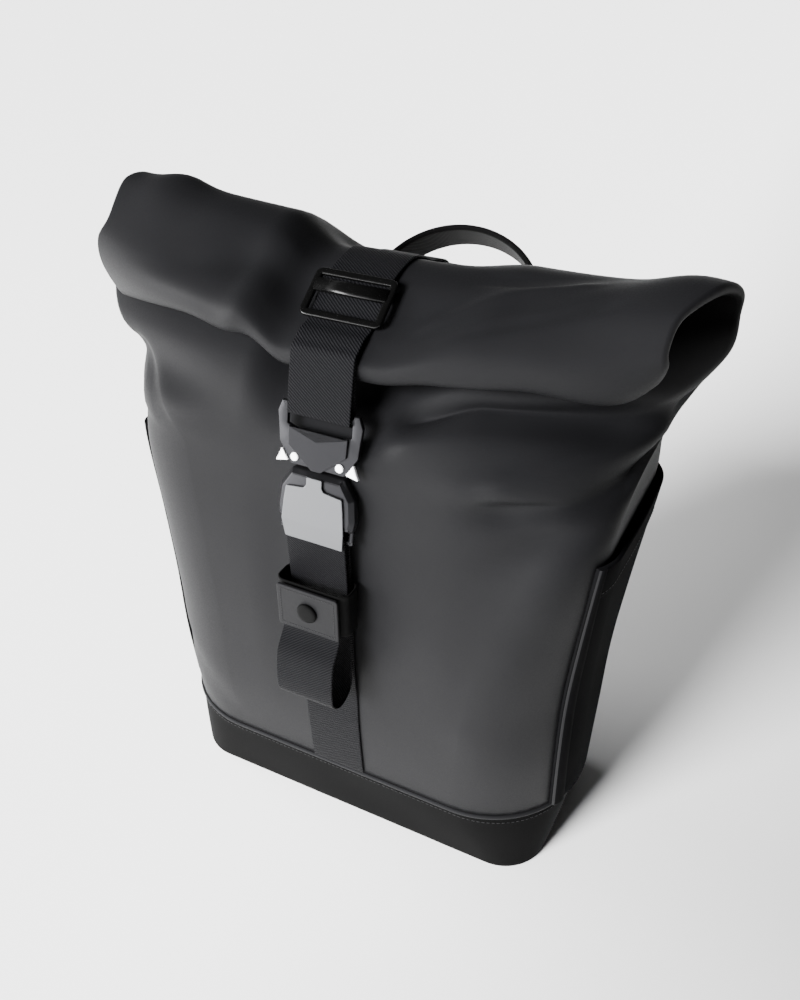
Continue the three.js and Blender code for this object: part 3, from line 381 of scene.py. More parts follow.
# %% Table of sections
COLUMNS = ("name", "body", "roll", "corner", "front", "back", "end_front", "end_back", "sink", "left")
NONE = (0, 0, 0)
SECTIONS = [dict(zip(COLUMNS, row)) for row in [
    ("seam", 1, 0, 0.48, (0, 0), (1, 0), (0, 0), (1, 0), (0, 0), NONE),
    ("low", 1.003, 0, 0.44, (-0.03, 0.139), (1.02, 0.139), (-0.03, 0.139), (1.02, 0.139), (0, 0), NONE),
    ("waist", 1.007, 0, 0.41, (-0.035, 0.284), (1.04, 0.284), (-0.035, 0.284), (1.04, 0.284), (0, 0), NONE),
    ("belly", 1.03, 0, 0.35, (-0.035, 0.431), (1.05, 0.431), (-0.035, 0.431), (1.05, 0.431), (0, 0), NONE),
    ("pockets", 1.063, 0, 0.23, (-0.023, 0.604), (1.05, 0.604), (-0.023, 0.604), (1.05, 0.604), (0, 0),
     (0.008, 0, 0)),
    ("chest", 0.8, 0.216, 0.2, (-0.014, 0.692), (1.04, 0.698), (0.09, 0.675), (0.96, 0.692), (0.1, 0),
     (0.02, 0, 0)),
    ("shoulder", 0.5, 0.48, 0.2, (0.02, 0.756), (1.01, 0.791), (0.32, 0.739), (0.88, 0.756), (0.45, 0),
     (0, -0.03, 0)),
    ("neck", 0.25, 0.73, 0.2, (0.1, 0.808), (0.94, 0.872), (0.58, 0.803), (0.79, 0.814), (0.65, 0.15),
     (0.01, -0.27, -0.01)),
    ("gather", 0.1, 0.91, 0.2, (0.22, 0.851), (0.83, 0.936), (0.72, 0.861), (0.775, 0.872), (0.75, 0.4),
     (-0.005, -0.3, -0.01)),
    ("crown", 0, 0.995, 0.2, (0.36, 0.901), (0.69, 0.977), (0.7, 0.919), (0.742, 0.929), (0.8, 0.75),
     (-0.03, -0.25, 0.01)),
    ("fold", 0, 1, 0.2, (0.47, 0.948), (0.53, 0.998), (0.6, 0.96), (0.622, 0.976), (0.6, 0.68),
     (-0.14, -0.08, 0.036)),
    ("brow", 0, 0.965, 0.2, (0.385, 0.975), (0.37, 0.991), (0.45, 0.981), (0.45, 0.998), (0.74, 0.74),
     (-0.072, 0, 0.018)),
    ("slope", 0, 0.905, 0.2, (0.25, 0.946), (0.228, 0.961), (0.29, 0.967), (0.262, 0.982), (0.88, 0.88),
     (-0.017, 0.04, -0.013)),
    ("face", 0, 0.89, 0.2, (0.14, 0.919), (0.105, 0.931), (0.235, 0.935), (0.198, 0.942), (0.8, 0.8),
     (0.026, 0.06, -0.006)),
    ("chin", 0, 0.893, 0.2, (0.078, 0.9), (0.035, 0.904), (0.255, 0.916), (0.215, 0.913), (0.75, 0.75),
     (0.028, 0.05, -0.023)),
    ("lower edge", 0, 0.878, 0.2, (0.08, 0.889), (0.055, 0.874), (0.3, 0.9), (0.29, 0.8845), (0.7, 0.7),
     (0.02, 0.03, -0.053)),
    ("turn", 0, 0.862, 0.2, (0.13, 0.888), (0.145, 0.873), (0.355, 0.896), (0.362, 0.8805), (0.7, 0.7),
     (0.03, 0, -0.05)),
    ("mouth", 0, 0.852, 0.2, (0.215, 0.904), (0.235, 0.8895), (0.43, 0.9125), (0.44, 0.897), (0.7, 0.7),
     (0.04, 0, -0.045)),
]]
ROW = {section["name"]: n for n, section in enumerate(SECTIONS)}

# Large dents, inwards, and swells, negative, and drops, where the cloth hangs lower: wall, x, row,
# reach, rows, lean and depth as in the model
DENTS = [
    ("front", 0.62, 6.3, 0.4, 0.55, 0.1, 0.05),
    ("front", 0.84, 4.4, 0.2, 0.4, 0.42, 0.06),
    ("front", 0.72, 5.3, 0.3, 0.4, 0.3, -0.04),
    ("front", -0.93, 4.9, 0.09, 0.6, 0, 0.05),
    ("front", -0.7, 5.4, 0.25, 0.6, -0.2, -0.04),
    ("front", 0.3, 2.6, 0.7, 1.4, 0, -0.03),
    ("both", -0.7, 10.5, 0.35, 1.5, 0, -0.02),
    ("both", -0.36, 12.4, 0.12, 1, 0.3, 0.02),
    ("both", 0.33, 10.4, 0.42, 2.2, 0, 0.12),
    ("both", 0.9, 10.4, 0.12, 1.5, 0, -0.035),
    ("both", -0.8, 10.3, 0.1, 1.2, 0, -0.035),
    ("drop", 0.88, 15, 0.22, 1.3, 0, 0.1),
    ("drop", 1.04, 15, 0.08, 1.3, 0, -0.08),
    ("drop", 0.45, 15, 0.2, 1.3, 0, 0.07),
    ("drop", -0.38, 15, 0.12, 1.3, 0, 0.04),
]


def column(key, index=None, scale=1.0, offset=0.0):
    """One column of the table as an array in millimetres."""
    values = [section[key] if index is None else section[key][index] for section in SECTIONS]
    return offset + scale * np.array(values, float)


HALF = column("body", scale=BAG_WIDTH / 2) + column("roll", scale=ROLL_WIDTH / 2)
CORNER = column("corner", scale=BAG_DEPTH)
LEFT_HALF = column("left", 0, ROLL_WIDTH / 2)
LEFT_Y = column("left", 1, BAG_DEPTH)
LEFT_Z = column("left", 2, SHELL_RISE)
WALLS = {key: np.stack([column(key, 0, BAG_DEPTH), column(key, 1, SHELL_RISE, SHELL_BOTTOM)])
         for key in ("front", "back", "end_front", "end_back")}
FRONT_SINK = column("sink", 0, STRAP_SINK)
BACK_SINK = column("sink", 1, STRAP_SINK)

# %% Surface of the cloth


def between(values, row):
    """A Catmull-Rom curve through the rows: each span is a cubic set by its two neighbours."""
    last = values.shape[-1] - 1
    first = np.minimum(np.floor(row).astype(int), last - 1)
    t = row - first
    before = values[..., np.maximum(first - 1, 0)]
    start = values[..., first]
    end = values[..., first + 1]
    after = values[..., np.minimum(first + 2, last)]
    square = 2 * before - 5 * start + 4 * end - after
    cubic = -before + 3 * start - 3 * end + after
    return (2 * start + (end - before) * t + square * t ** 2 + cubic * t ** 3) / 2


def smoothstep(value, low, high):
    """0 before low, 1 after high, and 3 t squared - 2 t cubed between them."""
    t = np.clip((value - low) / (high - low), 0, 1)
    return t * t * (3 - 2 * t)


def dent_depth(walls, x_share, row):
    """Sum of Gaussian hollows, each at its own place, reach and lean."""
    depth = 0
    for wall, x, at, reach, rows, lean, share in DENTS:
        if wall in walls:
            across = (x_share - x) / reach
            along = (row - at - lean * across) / rows
            depth = depth + share * BAG_DEPTH * np.exp(-across ** 2 - along ** 2)
    return depth


def along_wall(across, reach):
    """A quarter of the places cover the flat under the strap, the rest the way to the corner."""
    share = np.abs(across)
    x = np.where(share < 0.25, share / 0.25 * STRAP_FLAT,
                 STRAP_FLAT + (share - 0.25) / 0.75 * (reach - STRAP_FLAT))
    return np.sign(across) * x


def skin(row, place, inset=0.0):
    """Points of the cloth for rows (a column) and places round the tube (a row of arrays).

    The walls run from the middle to the side edge with the third power of x; near the strap they
    sink; a rounded rectangle joins front and back, and dents move the points across the wall.
    """
    row = np.asarray(row, float)[:, None]
    across, through, out_x, out_y = (value[None, :] for value in place)
    is_left = across < 0
    half = between(HALF, row) + np.where(is_left, between(LEFT_HALF, row), 0)
    shift = np.where(is_left, 1, 0) * np.stack([between(LEFT_Y, row) + 0 * across,
                                                between(LEFT_Z, row) + 0 * across])
    end_front = between(WALLS["end_front"], row) + shift
    end_back = between(WALLS["end_back"], row) + shift
    most = np.linalg.norm(end_front - end_back, axis=0) * 0.49
    back_corner = np.minimum(between(CORNER, row), most)
    front_corner = np.where(is_left, np.minimum(LEFT_CORNER, most), back_corner)
    corner = np.where(through < 0.5, front_corner, back_corner)
    x = along_wall(across, half - corner) + (corner - inset) * out_x
    share = np.minimum(np.abs(x) / half, 1)
    to_end = share ** 3
    pull = 1 - smoothstep(np.abs(x), STRAP_FLAT, np.where(is_left, LEFT_FADE, RIGHT_FADE))
    front = between(WALLS["front"], row) * (1 - to_end) + end_front * to_end
    back = between(WALLS["back"], row) * (1 - to_end) + end_back * to_end
    front[1] -= between(FRONT_SINK, row) * pull
    back[1] -= between(BACK_SINK, row) * pull
    depth = np.linalg.norm(front - back, axis=0)
    wall_dent = np.where(out_y < 0, dent_depth(("front",), x / half, row), 0) * np.abs(out_y) * (1 - pull)
    both_dent = dent_depth(("both",), x / half, row) * (1 - pull)
    straight = front_corner + through * (depth - front_corner - back_corner)
    along = straight + (corner - inset - wall_dent) * out_y - both_dent
    points = front + (back - front) * along / depth
    points[1] -= dent_depth(("drop",), x / half, row) * (1 - pull)
    return np.stack([x, points[0], points[1]], axis=-1)


def places_round(wall_steps, corner_steps, side_steps):
    """Across, through and outward direction for places round the tube, starting at the front left."""
    parts = []
    for turn in (-1, 1):
        n = np.arange(wall_steps) / wall_steps
        ones = np.ones(wall_steps)
        parts.append((turn * (1 - 2 * n), (1 + turn) / 2 * ones, 0 * n, turn * ones))
        angle = np.arange(corner_steps) / corner_steps * math.pi / 2
        ones = np.ones(corner_steps)
        parts.append((-turn * ones, (1 + turn) / 2 * ones, -turn * np.sin(angle), turn * np.cos(angle)))
        n = np.arange(side_steps) / side_steps
        ones = np.ones(side_steps)
        parts.append((-turn * ones, n if turn < 0 else 1 - n, -turn * ones, 0 * ones))
        ones = np.ones(corner_steps)
        parts.append((-turn * ones, (1 - turn) / 2 * ones, -turn * np.cos(angle), -turn * np.sin(angle)))
    return tuple(np.concatenate([part[n] for part in parts]) for n in range(4))


def middle_of(wall):
    """The place in the middle of the front or back wall."""
    value = (0.0, 0.0, 0.0, -1.0) if wall == "front" else (0.0, 1.0, 0.0, 1.0)
    return tuple(np.array([part]) for part in value)


# %% [markdown]
# ### Fine folds
# The large dents come with the frame. Cloth that is pulled in at the strap and gathered into a roll
# also has small creases. Each is a soft line from one point to another, with a width and a depth,
# pressed into the surface along its own normal.

# %% Fine folds
CREASES = [
    # wall, (x, row) start, (x, row) end, width mm, depth mm
    ("front", (50, 7.0), (150, 6.75), 17, 9.0),
    ("front", (112, 4.85), (160, 5.5), 15, 7.5),
    ("front", (108, 5.45), (160, 6.2), 9, -3.5),
    ("front", (58, 6.1), (130, 6.05), 18, -4.0),
    ("front", (-150, 6.4), (-120, 5.1), 8, 3.5),
    ("front", (-160, 5.8), (-145, 4.9), 6, -1.5),
    ("front", (-140, 1.2), (-95, 0.5), 8, 1.2),
    ("front", (100, 1.6), (140, 3.4), 14, -1.6),
    ("top", (55, 12.2), (120, 10.8), 7, -1.5),
    ("top", (80, 12.9), (135, 11.8), 6, 1.0),
    ("top", (-60, 14.2), (-42, 11.3), 9, -2.2),
    ("top", (-95, 12.6), (-60, 12.0), 14, 1.8),
]


ROW_LENGTH = {"front": 45.0, "top": 28.0}


def crease_depth(x, row, walls):
    """Depth of all creases: a Gaussian across each line, fading past its ends."""
    depth = 0 * x
    for wall, start, end, width, deep in CREASES:
        if wall in walls:
            scale = ROW_LENGTH[wall]
            ax, ay = start[0], start[1] * scale
            bx, by = end[0] - ax, end[1] * scale - ay
            length = math.hypot(bx, by)
            px, py = x - ax, row * scale - ay
            t = (px * bx + py * by) / length ** 2
            off = np.abs(px * by - py * bx) / length
            past = np.maximum(np.maximum(-t, t - 1), 0) * length
            depth += deep * np.exp(-(off / width) ** 2 - (past / (1.6 * width)) ** 2)
    return depth


def normals(grid):
    """Unit normals of a closed grid: the cross product of its two directions of travel."""
    around = np.roll(grid, -1, axis=1) - np.roll(grid, 1, axis=1)
    return to_unit(np.cross(around, np.gradient(grid, axis=0)), 1e-9)


# %% Body cloth
places = places_round(96, 10, 10)
rows = np.concatenate([np.linspace(0, 6, 49)[:-1], np.linspace(6, ROW["mouth"], 111)])
outer = skin(rows, places)
out = normals(outer)
is_front = (places[3][None, :] < 0) * (rows[:, None] < 8.0)
is_top = (places[3][None, :] > 0) * (rows[:, None] > 9.0)
away = smoothstep(np.abs(outer[..., 0]), STRAP_FLAT + 4, STRAP_FLAT + 22)
press = crease_depth(outer[..., 0], rows[:, None], ("front",)) * is_front
press = press + crease_depth(outer[..., 0], rows[:, None], ("top",)) * is_top
press = press * away
outer_pressed = outer - out * press[..., None]
inner = skin(rows, places, CLOTH) - out * press[..., None]
shell = make_piece("body_cloth", *walled(outer_pressed, inner, True), body_cloth, "coated_cloth",
                   ("body_shell", "rolled_top"))
# painted shade: the roll's hollow, lined by the front wall where no light comes, is painted dark, and its end
# folds partly so
faces_front = 1 - smoothstep(places[3], -0.8, 0.1)
hollow_painted_shade = smoothstep(rows, ROW["neck"] + 0.4, ROW["crown"])[:, None] * faces_front[None, :]
folded = smoothstep(rows, ROW["neck"], ROW["gather"]) * (1 - smoothstep(rows, ROW["fold"], ROW["brow"]))
faces_end = (1 - smoothstep(np.abs(places[3]), 0.2, 0.9)) * (np.abs(places[0]) >= 1)
shade = np.maximum(hollow_painted_shade, 0.75 * folded[:, None] * faces_end[None, :])
layer = shell.data.attributes.new("shade", "FLOAT", "POINT")
layer.data.foreach_set("value", np.concatenate([shade, shade]).ravel())
print("body cloth", len(shell.data.polygons), "faces")

# %% [markdown]
# ## Shapes that the pieces share
# Most pieces are a small closed profile carried along a path, or an outline drawn in again and again
# as it is carried through a thickness. Both give rings of points, and rings make a tube.

# %% Tubes and outlines


def tube(rings):
    """Points and quads of a tube through rings (rows x k x 3); strips across close its two ends."""
    rows, k = rings.shape[:2]
    n = np.arange(k // 2 - 1)
    cap = np.stack([n, n + 1, k - 2 - n, k - 1 - n], axis=-1)
    last = (rows - 1) * k
    return rings.reshape(-1, 3), np.concatenate([grid_faces(rows, k, True), cap[:, ::-1], cap + last])


def loop_tube(rings):
    """Points and quads of a tube that closes on itself, such as a ring of piping."""
    rows, k = rings.shape[:2]
    return rings.reshape(-1, 3), grid_faces(rows, k, True, True)


def joined(parts):
    """Several (points, faces) as one, for pieces made of many small closed forms."""
    points, faces, start = [], [], 0
    for part_points, part_faces in parts:
        part_points = np.asarray(part_points, float).reshape(-1, 3)
        sign = -1 if signed_volume(part_points - part_points.mean(axis=0), part_faces) < 0 else 1
        points.append(part_points)
        faces.append(part_faces[:, ::sign] + start)
        start += len(part_points)
    return np.concatenate(points), np.concatenate(faces)


def mirrored(right):
    """The right half of an outline, from the top down, and its mirror image back up."""
    right = np.asarray(right, float)
    return np.concatenate([right, right[::-1] * (-1, 1)])


def to_left(vectors):
    """Flat vectors (n x 2) turned a quarter to their left."""
    return np.stack([-vectors[:, 1], vectors[:, 0]], axis=-1)


def squared(wave, power):
    """A sine or cosine pushed towards its ends: the smaller the power, the squarer the section."""
    return np.sign(wave) * np.abs(wave) ** power


def eased(outline, radius, steps=4):
    """Each corner of a polygon replaced by a quadratic curve that starts radius before it."""
    before = np.roll(outline, 1, axis=0) - outline
    after = np.roll(outline, -1, axis=0) - outline
    start, end = (outline + edge * np.minimum(radius / np.linalg.norm(edge, axis=1, keepdims=True), 0.49)
                  for edge in (before, after))
    t = np.linspace(0, 1, steps + 1)[None, :, None]
    curve = (1 - t) ** 2 * start[:, None] + 2 * t * (1 - t) * outline[:, None] + t ** 2 * end[:, None]
    return curve.reshape(-1, 2)


def drawn_in(outline, inset):
    """The outline moved inwards by inset: each point goes along the mean of its two edges' normals."""
    into = outline - np.roll(outline, 1, axis=0)
    out = np.roll(into, -1, axis=0)
    area = np.sum(outline[:, 0] * np.roll(outline[:, 1], -1) - outline[:, 1] * np.roll(outline[:, 0], -1))
    normal = [to_left(to_unit(edge, 1e-6)) * np.sign(area) for edge in (into, out)]
    share = np.maximum(1 + np.sum(normal[0] * normal[1], axis=1, keepdims=True), 0.4)
    return outline + inset * (normal[0] + normal[1]) / share


def slab(outline, front, thickness, bevel, steps=3):
    """A plate in X and Z with rounded edges: the outline is drawn in by a quarter circle at both faces."""
    angle = np.linspace(0, math.pi / 2, steps + 1)
    round_in, round_down = bevel * (1 - np.sin(angle)), bevel * (1 - np.cos(angle))
    inset = np.concatenate([[2 * bevel], round_in, round_in[::-1], [2 * bevel]])
    depth = np.concatenate([[0], round_down, thickness - round_down[::-1], [thickness]])
    rings = [np.insert(drawn_in(outline, one), 1, front + down, axis=1) for one, down in zip(inset, depth)]
    return tube(np.stack(rings))


def round_rod(start, end, half_width, half_height, side, up, steps=16, power=0.8):
    """A straight bar with an oval section: side and up are its two directions across."""
    angle = math.pi - (np.arange(steps) + 0.5) * math.tau / steps
    flat = squared(np.cos(angle), power) * half_width
    tall = squared(np.sin(angle), power) * half_height
    section = flat[:, None] * np.asarray(side, float) + tall[:, None] * np.asarray(up, float)
    ends = np.linspace(0, 1, 3)[:, None] * (np.asarray(end, float) - start) + start
    return tube(ends[:, None] + section[None])


def turned(profile, middle, axis_out, side, up, steps=40):
    """A turned form: each (radius, height) of the profile is a circle round the axis."""
    angle = np.arange(steps) * math.tau / steps
    circle = np.cos(angle)[:, None] * np.asarray(side, float) + np.sin(angle)[:, None] * np.asarray(up, float)
    rings = [np.asarray(middle, float) + radius * circle + height * np.asarray(axis_out, float)
             for radius, height in profile]
    return tube(np.stack(rings))


# %% [markdown]
# ### Stitches
# A seam's thread shows as short raised dashes. Each is a small capsule, laid along its path and
# sunk a third into the cloth; all the stitches of a row are one mesh.

# %% Stitches


def stitch_row(path, out, pitch=3.0, length=2.1, radius=0.34):
    """Capsules along a path (n x 3): each ring's radius follows a half circle at the stitch's ends."""
    at = run_along(path)
    middle = np.arange(pitch / 2, at[-1] - length / 2, pitch)
    taken = ((middle - length / 2, path), (middle + length / 2, path), (middle, out))
    a, b, up = (np.stack([np.interp(place, at, values[:, n]) for n in range(3)], axis=-1)
                for place, values in taken)
    side = np.cross(to_unit(b - a), up)
    share = np.array([0.0, 0.12, 0.5, 0.88, 1.0])
    wide = np.array([0.15, 0.75, 1.0, 0.75, 0.15]) * radius
    angle = np.arange(6) * math.tau / 6
    line = a[:, None] + (b - a)[:, None] * share[None, :, None]
    ring = (np.cos(angle)[None, None, :, None] * side[:, None, None] +
            np.sin(angle)[None, None, :, None] * up[:, None, None]) * wide[None, :, None, None]
    rings = line[:, :, None] + ring + up[:, None, None] * radius * 0.35
    count = len(middle)
    one = tube(np.zeros((5, 6, 3)))[1]
    faces = one[None] + (np.arange(count) * 30)[:, None, None]
    return rings.reshape(-1, 3), faces.reshape(-1, 4)


# %% [markdown]
# ## Base
# The bag stands on a stiffened base of the same coated cloth. It is a tray: each level is a rounded
# rectangle between the foot's and the seam's, and the bottom edge is softly rounded. The long walls
# wave a little, as glued and stitched cloth does.

# %% Base
FOOT = (285 / 2, 11.0, 142.0, 32.0)
TOP = (BAG_WIDTH / 2, 0.0, BAG_DEPTH, 0.48 * BAG_DEPTH)
BASE_WALL = 2.0
WELT_HEIGHT = 3.4
BAND_TOP = SEAM - WELT_HEIGHT - CLEAR


def rounded_ring(half, front, back, radius, arc_steps=14, wall_steps=40, side_steps=12):
    """A rounded rectangle as a ring of (x, y), starting in the middle of its left side."""
    parts = []
    middle = (front + back) / 2
    corners = [(-half, front, math.pi), (half, front, 1.5 * math.pi), (half, back, 0),
               (-half, back, 0.5 * math.pi)]
    ends = []
    for x, y, start in corners:
        angle = start + np.linspace(0, math.pi / 2, arc_steps + 1)
        cx = x - math.copysign(radius, x)
        cy = y + radius if y < middle else y - radius
        ends.append(np.stack([cx + radius * np.cos(angle), cy + radius * np.sin(angle)], axis=-1))
    for n, arc in enumerate(ends):
        following = ends[(n + 1) % 4][0]
        count = wall_steps if n % 2 == 0 else side_steps
        t = np.linspace(0, 1, count + 1)[1:-1, None]
        parts += [arc, arc[-1] + (following - arc[-1]) * t]
    ring = np.concatenate(parts)
    return np.roll(ring, side_steps // 2, axis=0)


def base_ring(z, inset=0.0, **steps):
    """The base at one height: every size is a mix of the foot's and the seam's, then drawn in."""
    half, front, back, corner = (low + (high - low) * z / SEAM for low, high in zip(FOOT, TOP))
    ring = rounded_ring(half - inset, front + inset, back - inset, max(corner - inset, 1.0), **steps)
    return np.insert(ring, 2, z, axis=1)


SOLE_ROUND = 2.0
RIM_ROUND = 0.5
turn_in = np.linspace(0, math.pi / 2, 6)
levels = [(0.0, SOLE_ROUND + 6)]
levels += [(SOLE_ROUND * (1 - math.cos(a)), SOLE_ROUND * (1 - math.sin(a))) for a in turn_in]
levels += [(z, 0.0) for z in np.linspace(SOLE_ROUND, BAND_TOP - RIM_ROUND, 15)[1:]]
levels += [(BAND_TOP, RIM_ROUND), (BAND_TOP, BASE_WALL)]
levels += [(z, BASE_WALL) for z in np.linspace(BAND_TOP, BASE_WALL, 6)[1:]]
levels += [(BASE_WALL, BASE_WALL + 8)]
base_rings = np.stack([base_ring(z, inset) for z, inset in levels])
high = base_rings[..., 2] / SEAM
base_x = base_rings[..., 0]
wave = 0.7 * np.sin(base_x / 31 + 1.0) * np.sin(high * math.pi) + 0.5 * np.sin(base_x / 17)
base_rings[..., 1] += wave * np.sin(high * math.pi) * np.sign(BAG_DEPTH / 2 - base_rings[..., 1])
base = make_piece("base_cloth", *tube(base_rings), base_cloth, "base_cloth", ("base_band",))
print("base", len(base.data.polygons), "faces")

# %% [markdown]
# ### Welt and topstitch
# A cord wrapped in cloth is sewn into the seam. Its profile is a half circle that stands out of the
# wall. A dark line lies above and below it where the cloths meet, and a row of stitches below that.

# %% Welt
WELT_RADIUS = 1.55
STITCH_DROP = 4.2
WELT_MIDDLE = BAND_TOP + CLEAR + WELT_HEIGHT / 2
angle = np.linspace(0, math.pi, 11)
profile = [(-WELT_RADIUS * math.sin(a), WELT_MIDDLE - WELT_RADIUS * math.cos(a)) for a in angle]
profile += [(BASE_WALL, WELT_MIDDLE + 1.2), (BASE_WALL, WELT_MIDDLE - 1.2)]
welt_rings = []
for inset, z in profile:
    ring = base_ring(SEAM, inset, arc_steps=24, wall_steps=80, side_steps=20)
    ring[:, 2] = z
    welt_rings.append(ring)
make_piece("seam_welt_cord", *loop_tube(np.stack(welt_rings)), piping_and_highlight_cloth, "piping", ("seam_welt",))

ring = base_ring(BAND_TOP - STITCH_DROP, -0.05, arc_steps=40, wall_steps=120, side_steps=30)
closed_ring = np.concatenate([ring, ring[:1]])
step = np.gradient(closed_ring, axis=0)
ring_out = to_unit(np.stack([step[:, 1], -step[:, 0], 0 * step[:, 0]], axis=-1))
make_piece("base_topstitch", *stitch_row(closed_ring, ring_out, 3.4, 2.3, 0.3), thread, "base_cloth")

# %% [markdown]
# ## Side pockets
# A pocket is a panel of the same cloth, darker and duller as painted shade, that lies on the body,
# from the base seam to its mouth, and stands off it in the middle of the mouth. The mouth is hemmed
# 25 mm deep, and the front edge is bound with a folded strip, also in painted shade, whose front
# edge has a painted highlight.

# %% Side pockets
POCKET_CLOTH = 2.0
POCKET_BULGE = 3.0
POCKET_SHARE = 0.6035
HEM = 25.0
HEM_STEP = 0.55
MOUTH_ROUND = 0.8
ROW_RISE = SHELL_RISE * (SECTIONS[ROW["pockets"]]["front"][1] - SECTIONS[ROW["belly"]]["front"][1])


def places_on_side(side, start, end, corner_steps, side_steps):
    """Places from a front corner to a back corner of one side, angles in degrees round the corners."""
    front = np.radians(np.linspace(start, 90, corner_steps + 1))
    back = np.radians(np.linspace(0, end, corner_steps + 1))
    straight = np.arange(1, side_steps) / side_steps
    none = 0 * straight
    across = np.full(2 * corner_steps + 2 + side_steps - 1, float(side))
    through = np.concatenate([0 * front, straight, 0 * back + 1])
    out_x = side * np.concatenate([np.sin(front), none + 1, np.cos(back)])
    out_y = np.concatenate([-np.cos(front), none, np.sin(back)])
    return across, through, out_x, out_y


def row_at(height, place):
    """The row at which the skin reaches a height, read off a fine list of rows."""
    fine = np.linspace(0, ROW["neck"], 1400)
    return float(np.interp(height, skin(fine, place)[:, 0, 2], fine))


side_middle = tuple(np.array([value]) for value in (1.0, 0.5, 1.0, 0.0))
mouth_row = row_at(SHELL_BOTTOM + POCKET_SHARE * SHELL_RISE, side_middle)
pocket_rows = np.concatenate([np.linspace(0, mouth_row - 0.5, 56),
                              np.linspace(mouth_row - 0.5, mouth_row, 33)[1:]])


def pocket_lift(rows, count, extra):
    """How far the pocket's cloth lies off the body: more towards the middle of its mouth."""
    across = np.sin(np.pi * np.linspace(0, 1, count))[None, :]
    up = rows[:, None] / mouth_row
    folds = 0.9 * np.sin(9 * np.linspace(0, 1, count)[None, :] + 3 * up) * across * up ** 2
    return -(CLEAR + extra + POCKET_BULGE * across * up ** 3 + folds * (extra > 0) * 0.6 + 0.3 * across)


for name, side in SIDES:
    spots = places_on_side(side, 60, 60, 26, 34)
    count = len(spots[0])
    hem_start = mouth_row - HEM / ROW_RISE
    hem = HEM_STEP * smoothstep(pocket_rows, hem_start - 0.02, hem_start)[:, None]
    edge = MOUTH_ROUND * smoothstep(pocket_rows, mouth_row - 0.02, mouth_row)[:, None]
    outside = skin(pocket_rows, spots, pocket_lift(pocket_rows, count, POCKET_CLOTH) - hem + edge)
    inside = skin(pocket_rows, spots, pocket_lift(pocket_rows, count, 0))
    make_piece(f"pocket_cloth_painted_shade_{name}", *walled(outside, inside, False), pocket_cloth_painted_shade, "coated_cloth",
               (f"pocket_{name}",), sharp=50)
    hem_rows = np.array([hem_start + 0.035])
    path = skin(hem_rows, spots, pocket_lift(hem_rows, count, POCKET_CLOTH + HEM_STEP))[0]
    out = np.stack([spots[2], spots[3], 0 * spots[2]], axis=-1)
    make_piece(f"pocket_stitches_{name}", *stitch_row(path, out, 3.2, 2.2, 0.28), thread, "coated_cloth")

# %% [markdown]
# ### Binding
# The binding is a strip folded over the pocket's front edge. Across the strip its height is a half
# sine, so it is fat in its middle and thin at both edges.

# %% Binding
BINDING = 1.0
for name, side in SIDES:
    spots = places_on_side(side, 60, 60, 6, 5)
    n = np.linspace(0, 2, 15)
    strip = tuple(np.interp(n, np.arange(3), value[:3]) for value in spots)
    length = np.hypot(strip[2], strip[3])
    strip = (strip[0], strip[1], strip[2] / length, strip[3] / length)
    bump_up = np.sin(np.pi * (n / 2)) ** 0.7
    under = POCKET_CLOTH + 1.5 * CLEAR
    lift = -(CLEAR + under + 0.1 + (BINDING + 0.6) * bump_up[None, :] + 0 * pocket_rows[:, None])
    low = -(CLEAR + under + 0 * pocket_rows[:, None] + 0 * n[None, :])
    folded = walled(skin(pocket_rows, strip, lift), skin(pocket_rows, strip, low), False)
    piece = make_piece(f"pocket_edge_{name}", *folded, binding_cloth_painted_shade, "piping",
                       (f"pocket_binding_{name}",), sharp=60)
    # painted highlight: the strip's two front rows take the lighter piping cloth, one thin line along the
    # folded front edge
    piece.data.materials.append(piping_and_highlight_cloth)
    edge_highlight_index = np.zeros(len(piece.data.polygons), int)
    edge_highlight_index[:(len(pocket_rows) - 1) * (len(n) - 1)] = np.tile(np.arange(len(n) - 1) < 2, len(pocket_rows) - 1)
    piece.data.polygons.foreach_set("material_index", edge_highlight_index)

# %% [markdown]
# ## Webbing
# A strap is a flat oval profile carried along a smooth line. Its UV map holds the distance across
# and along in metres, so the twill follows every turn. The lines are those of the frame: over the
# skin, round the bars, and in free curves between them.

# %% Webbing helpers
WEBBING = 1.5
STRAP_WIDTH = 40.0


def smooth_line(points, spacing):
    """A Catmull-Rom curve through points (n x k), sampled about every spacing millimetres."""
    points = np.asarray(points, float)
    fine = np.linspace(0, len(points) - 1, 24 * len(points))
    curve = between(points.T, fine).T
    at = run_along(curve)
    even = np.linspace(0, at[-1], max(int(at[-1] / spacing), 2) + 1)
    return np.stack([np.interp(even, at, curve[:, n]) for n in range(curve.shape[1])], axis=1)


def band_profile(width, thickness, face_steps=12, edge_steps=4):
    """A flat oval as (across, up): two faces joined by half circles, from the middle of its left edge."""
    half, round_off = width / 2, thickness / 2
    quarter = (np.arange(edge_steps) + 0.5) / edge_steps * math.pi / 2
    left = np.stack([-half + round_off * (1 - np.cos(quarter)), round_off * np.sin(quarter)], axis=-1)
    face = np.linspace(-half + round_off, half - round_off, face_steps + 1)
    face = np.stack([face, 0 * face + round_off], axis=-1)
    upper = np.concatenate([left, face, left[::-1] * (-1, 1)])
    return np.concatenate([upper, upper[::-1] * (1, -1)])


def cloth_uv(profile, line):
    """UV in metres of a profile carried along a line: across the strap and along it."""
    across, along = np.broadcast_arrays(profile[None, :, 0], run_along(line)[:, None])
    return np.stack([across, along], axis=-1) * MM


def line_normals(line):
    """Unit normals of a flat line, to the left of its direction."""
    return to_left(to_unit(np.gradient(line, axis=0)))


def band(line, width, thickness, x=0.0):
    """Rings of a strap along a line in the YZ plane, and their UV."""
    profile = band_profile(width, thickness)
    flat = line[:, None] + line_normals(line)[:, None] * profile[None, :, 1:]
    across = np.broadcast_to(x + profile[:, 0], flat.shape[:2])
    return np.concatenate([across[..., None], flat], axis=-1), cloth_uv(profile, line)


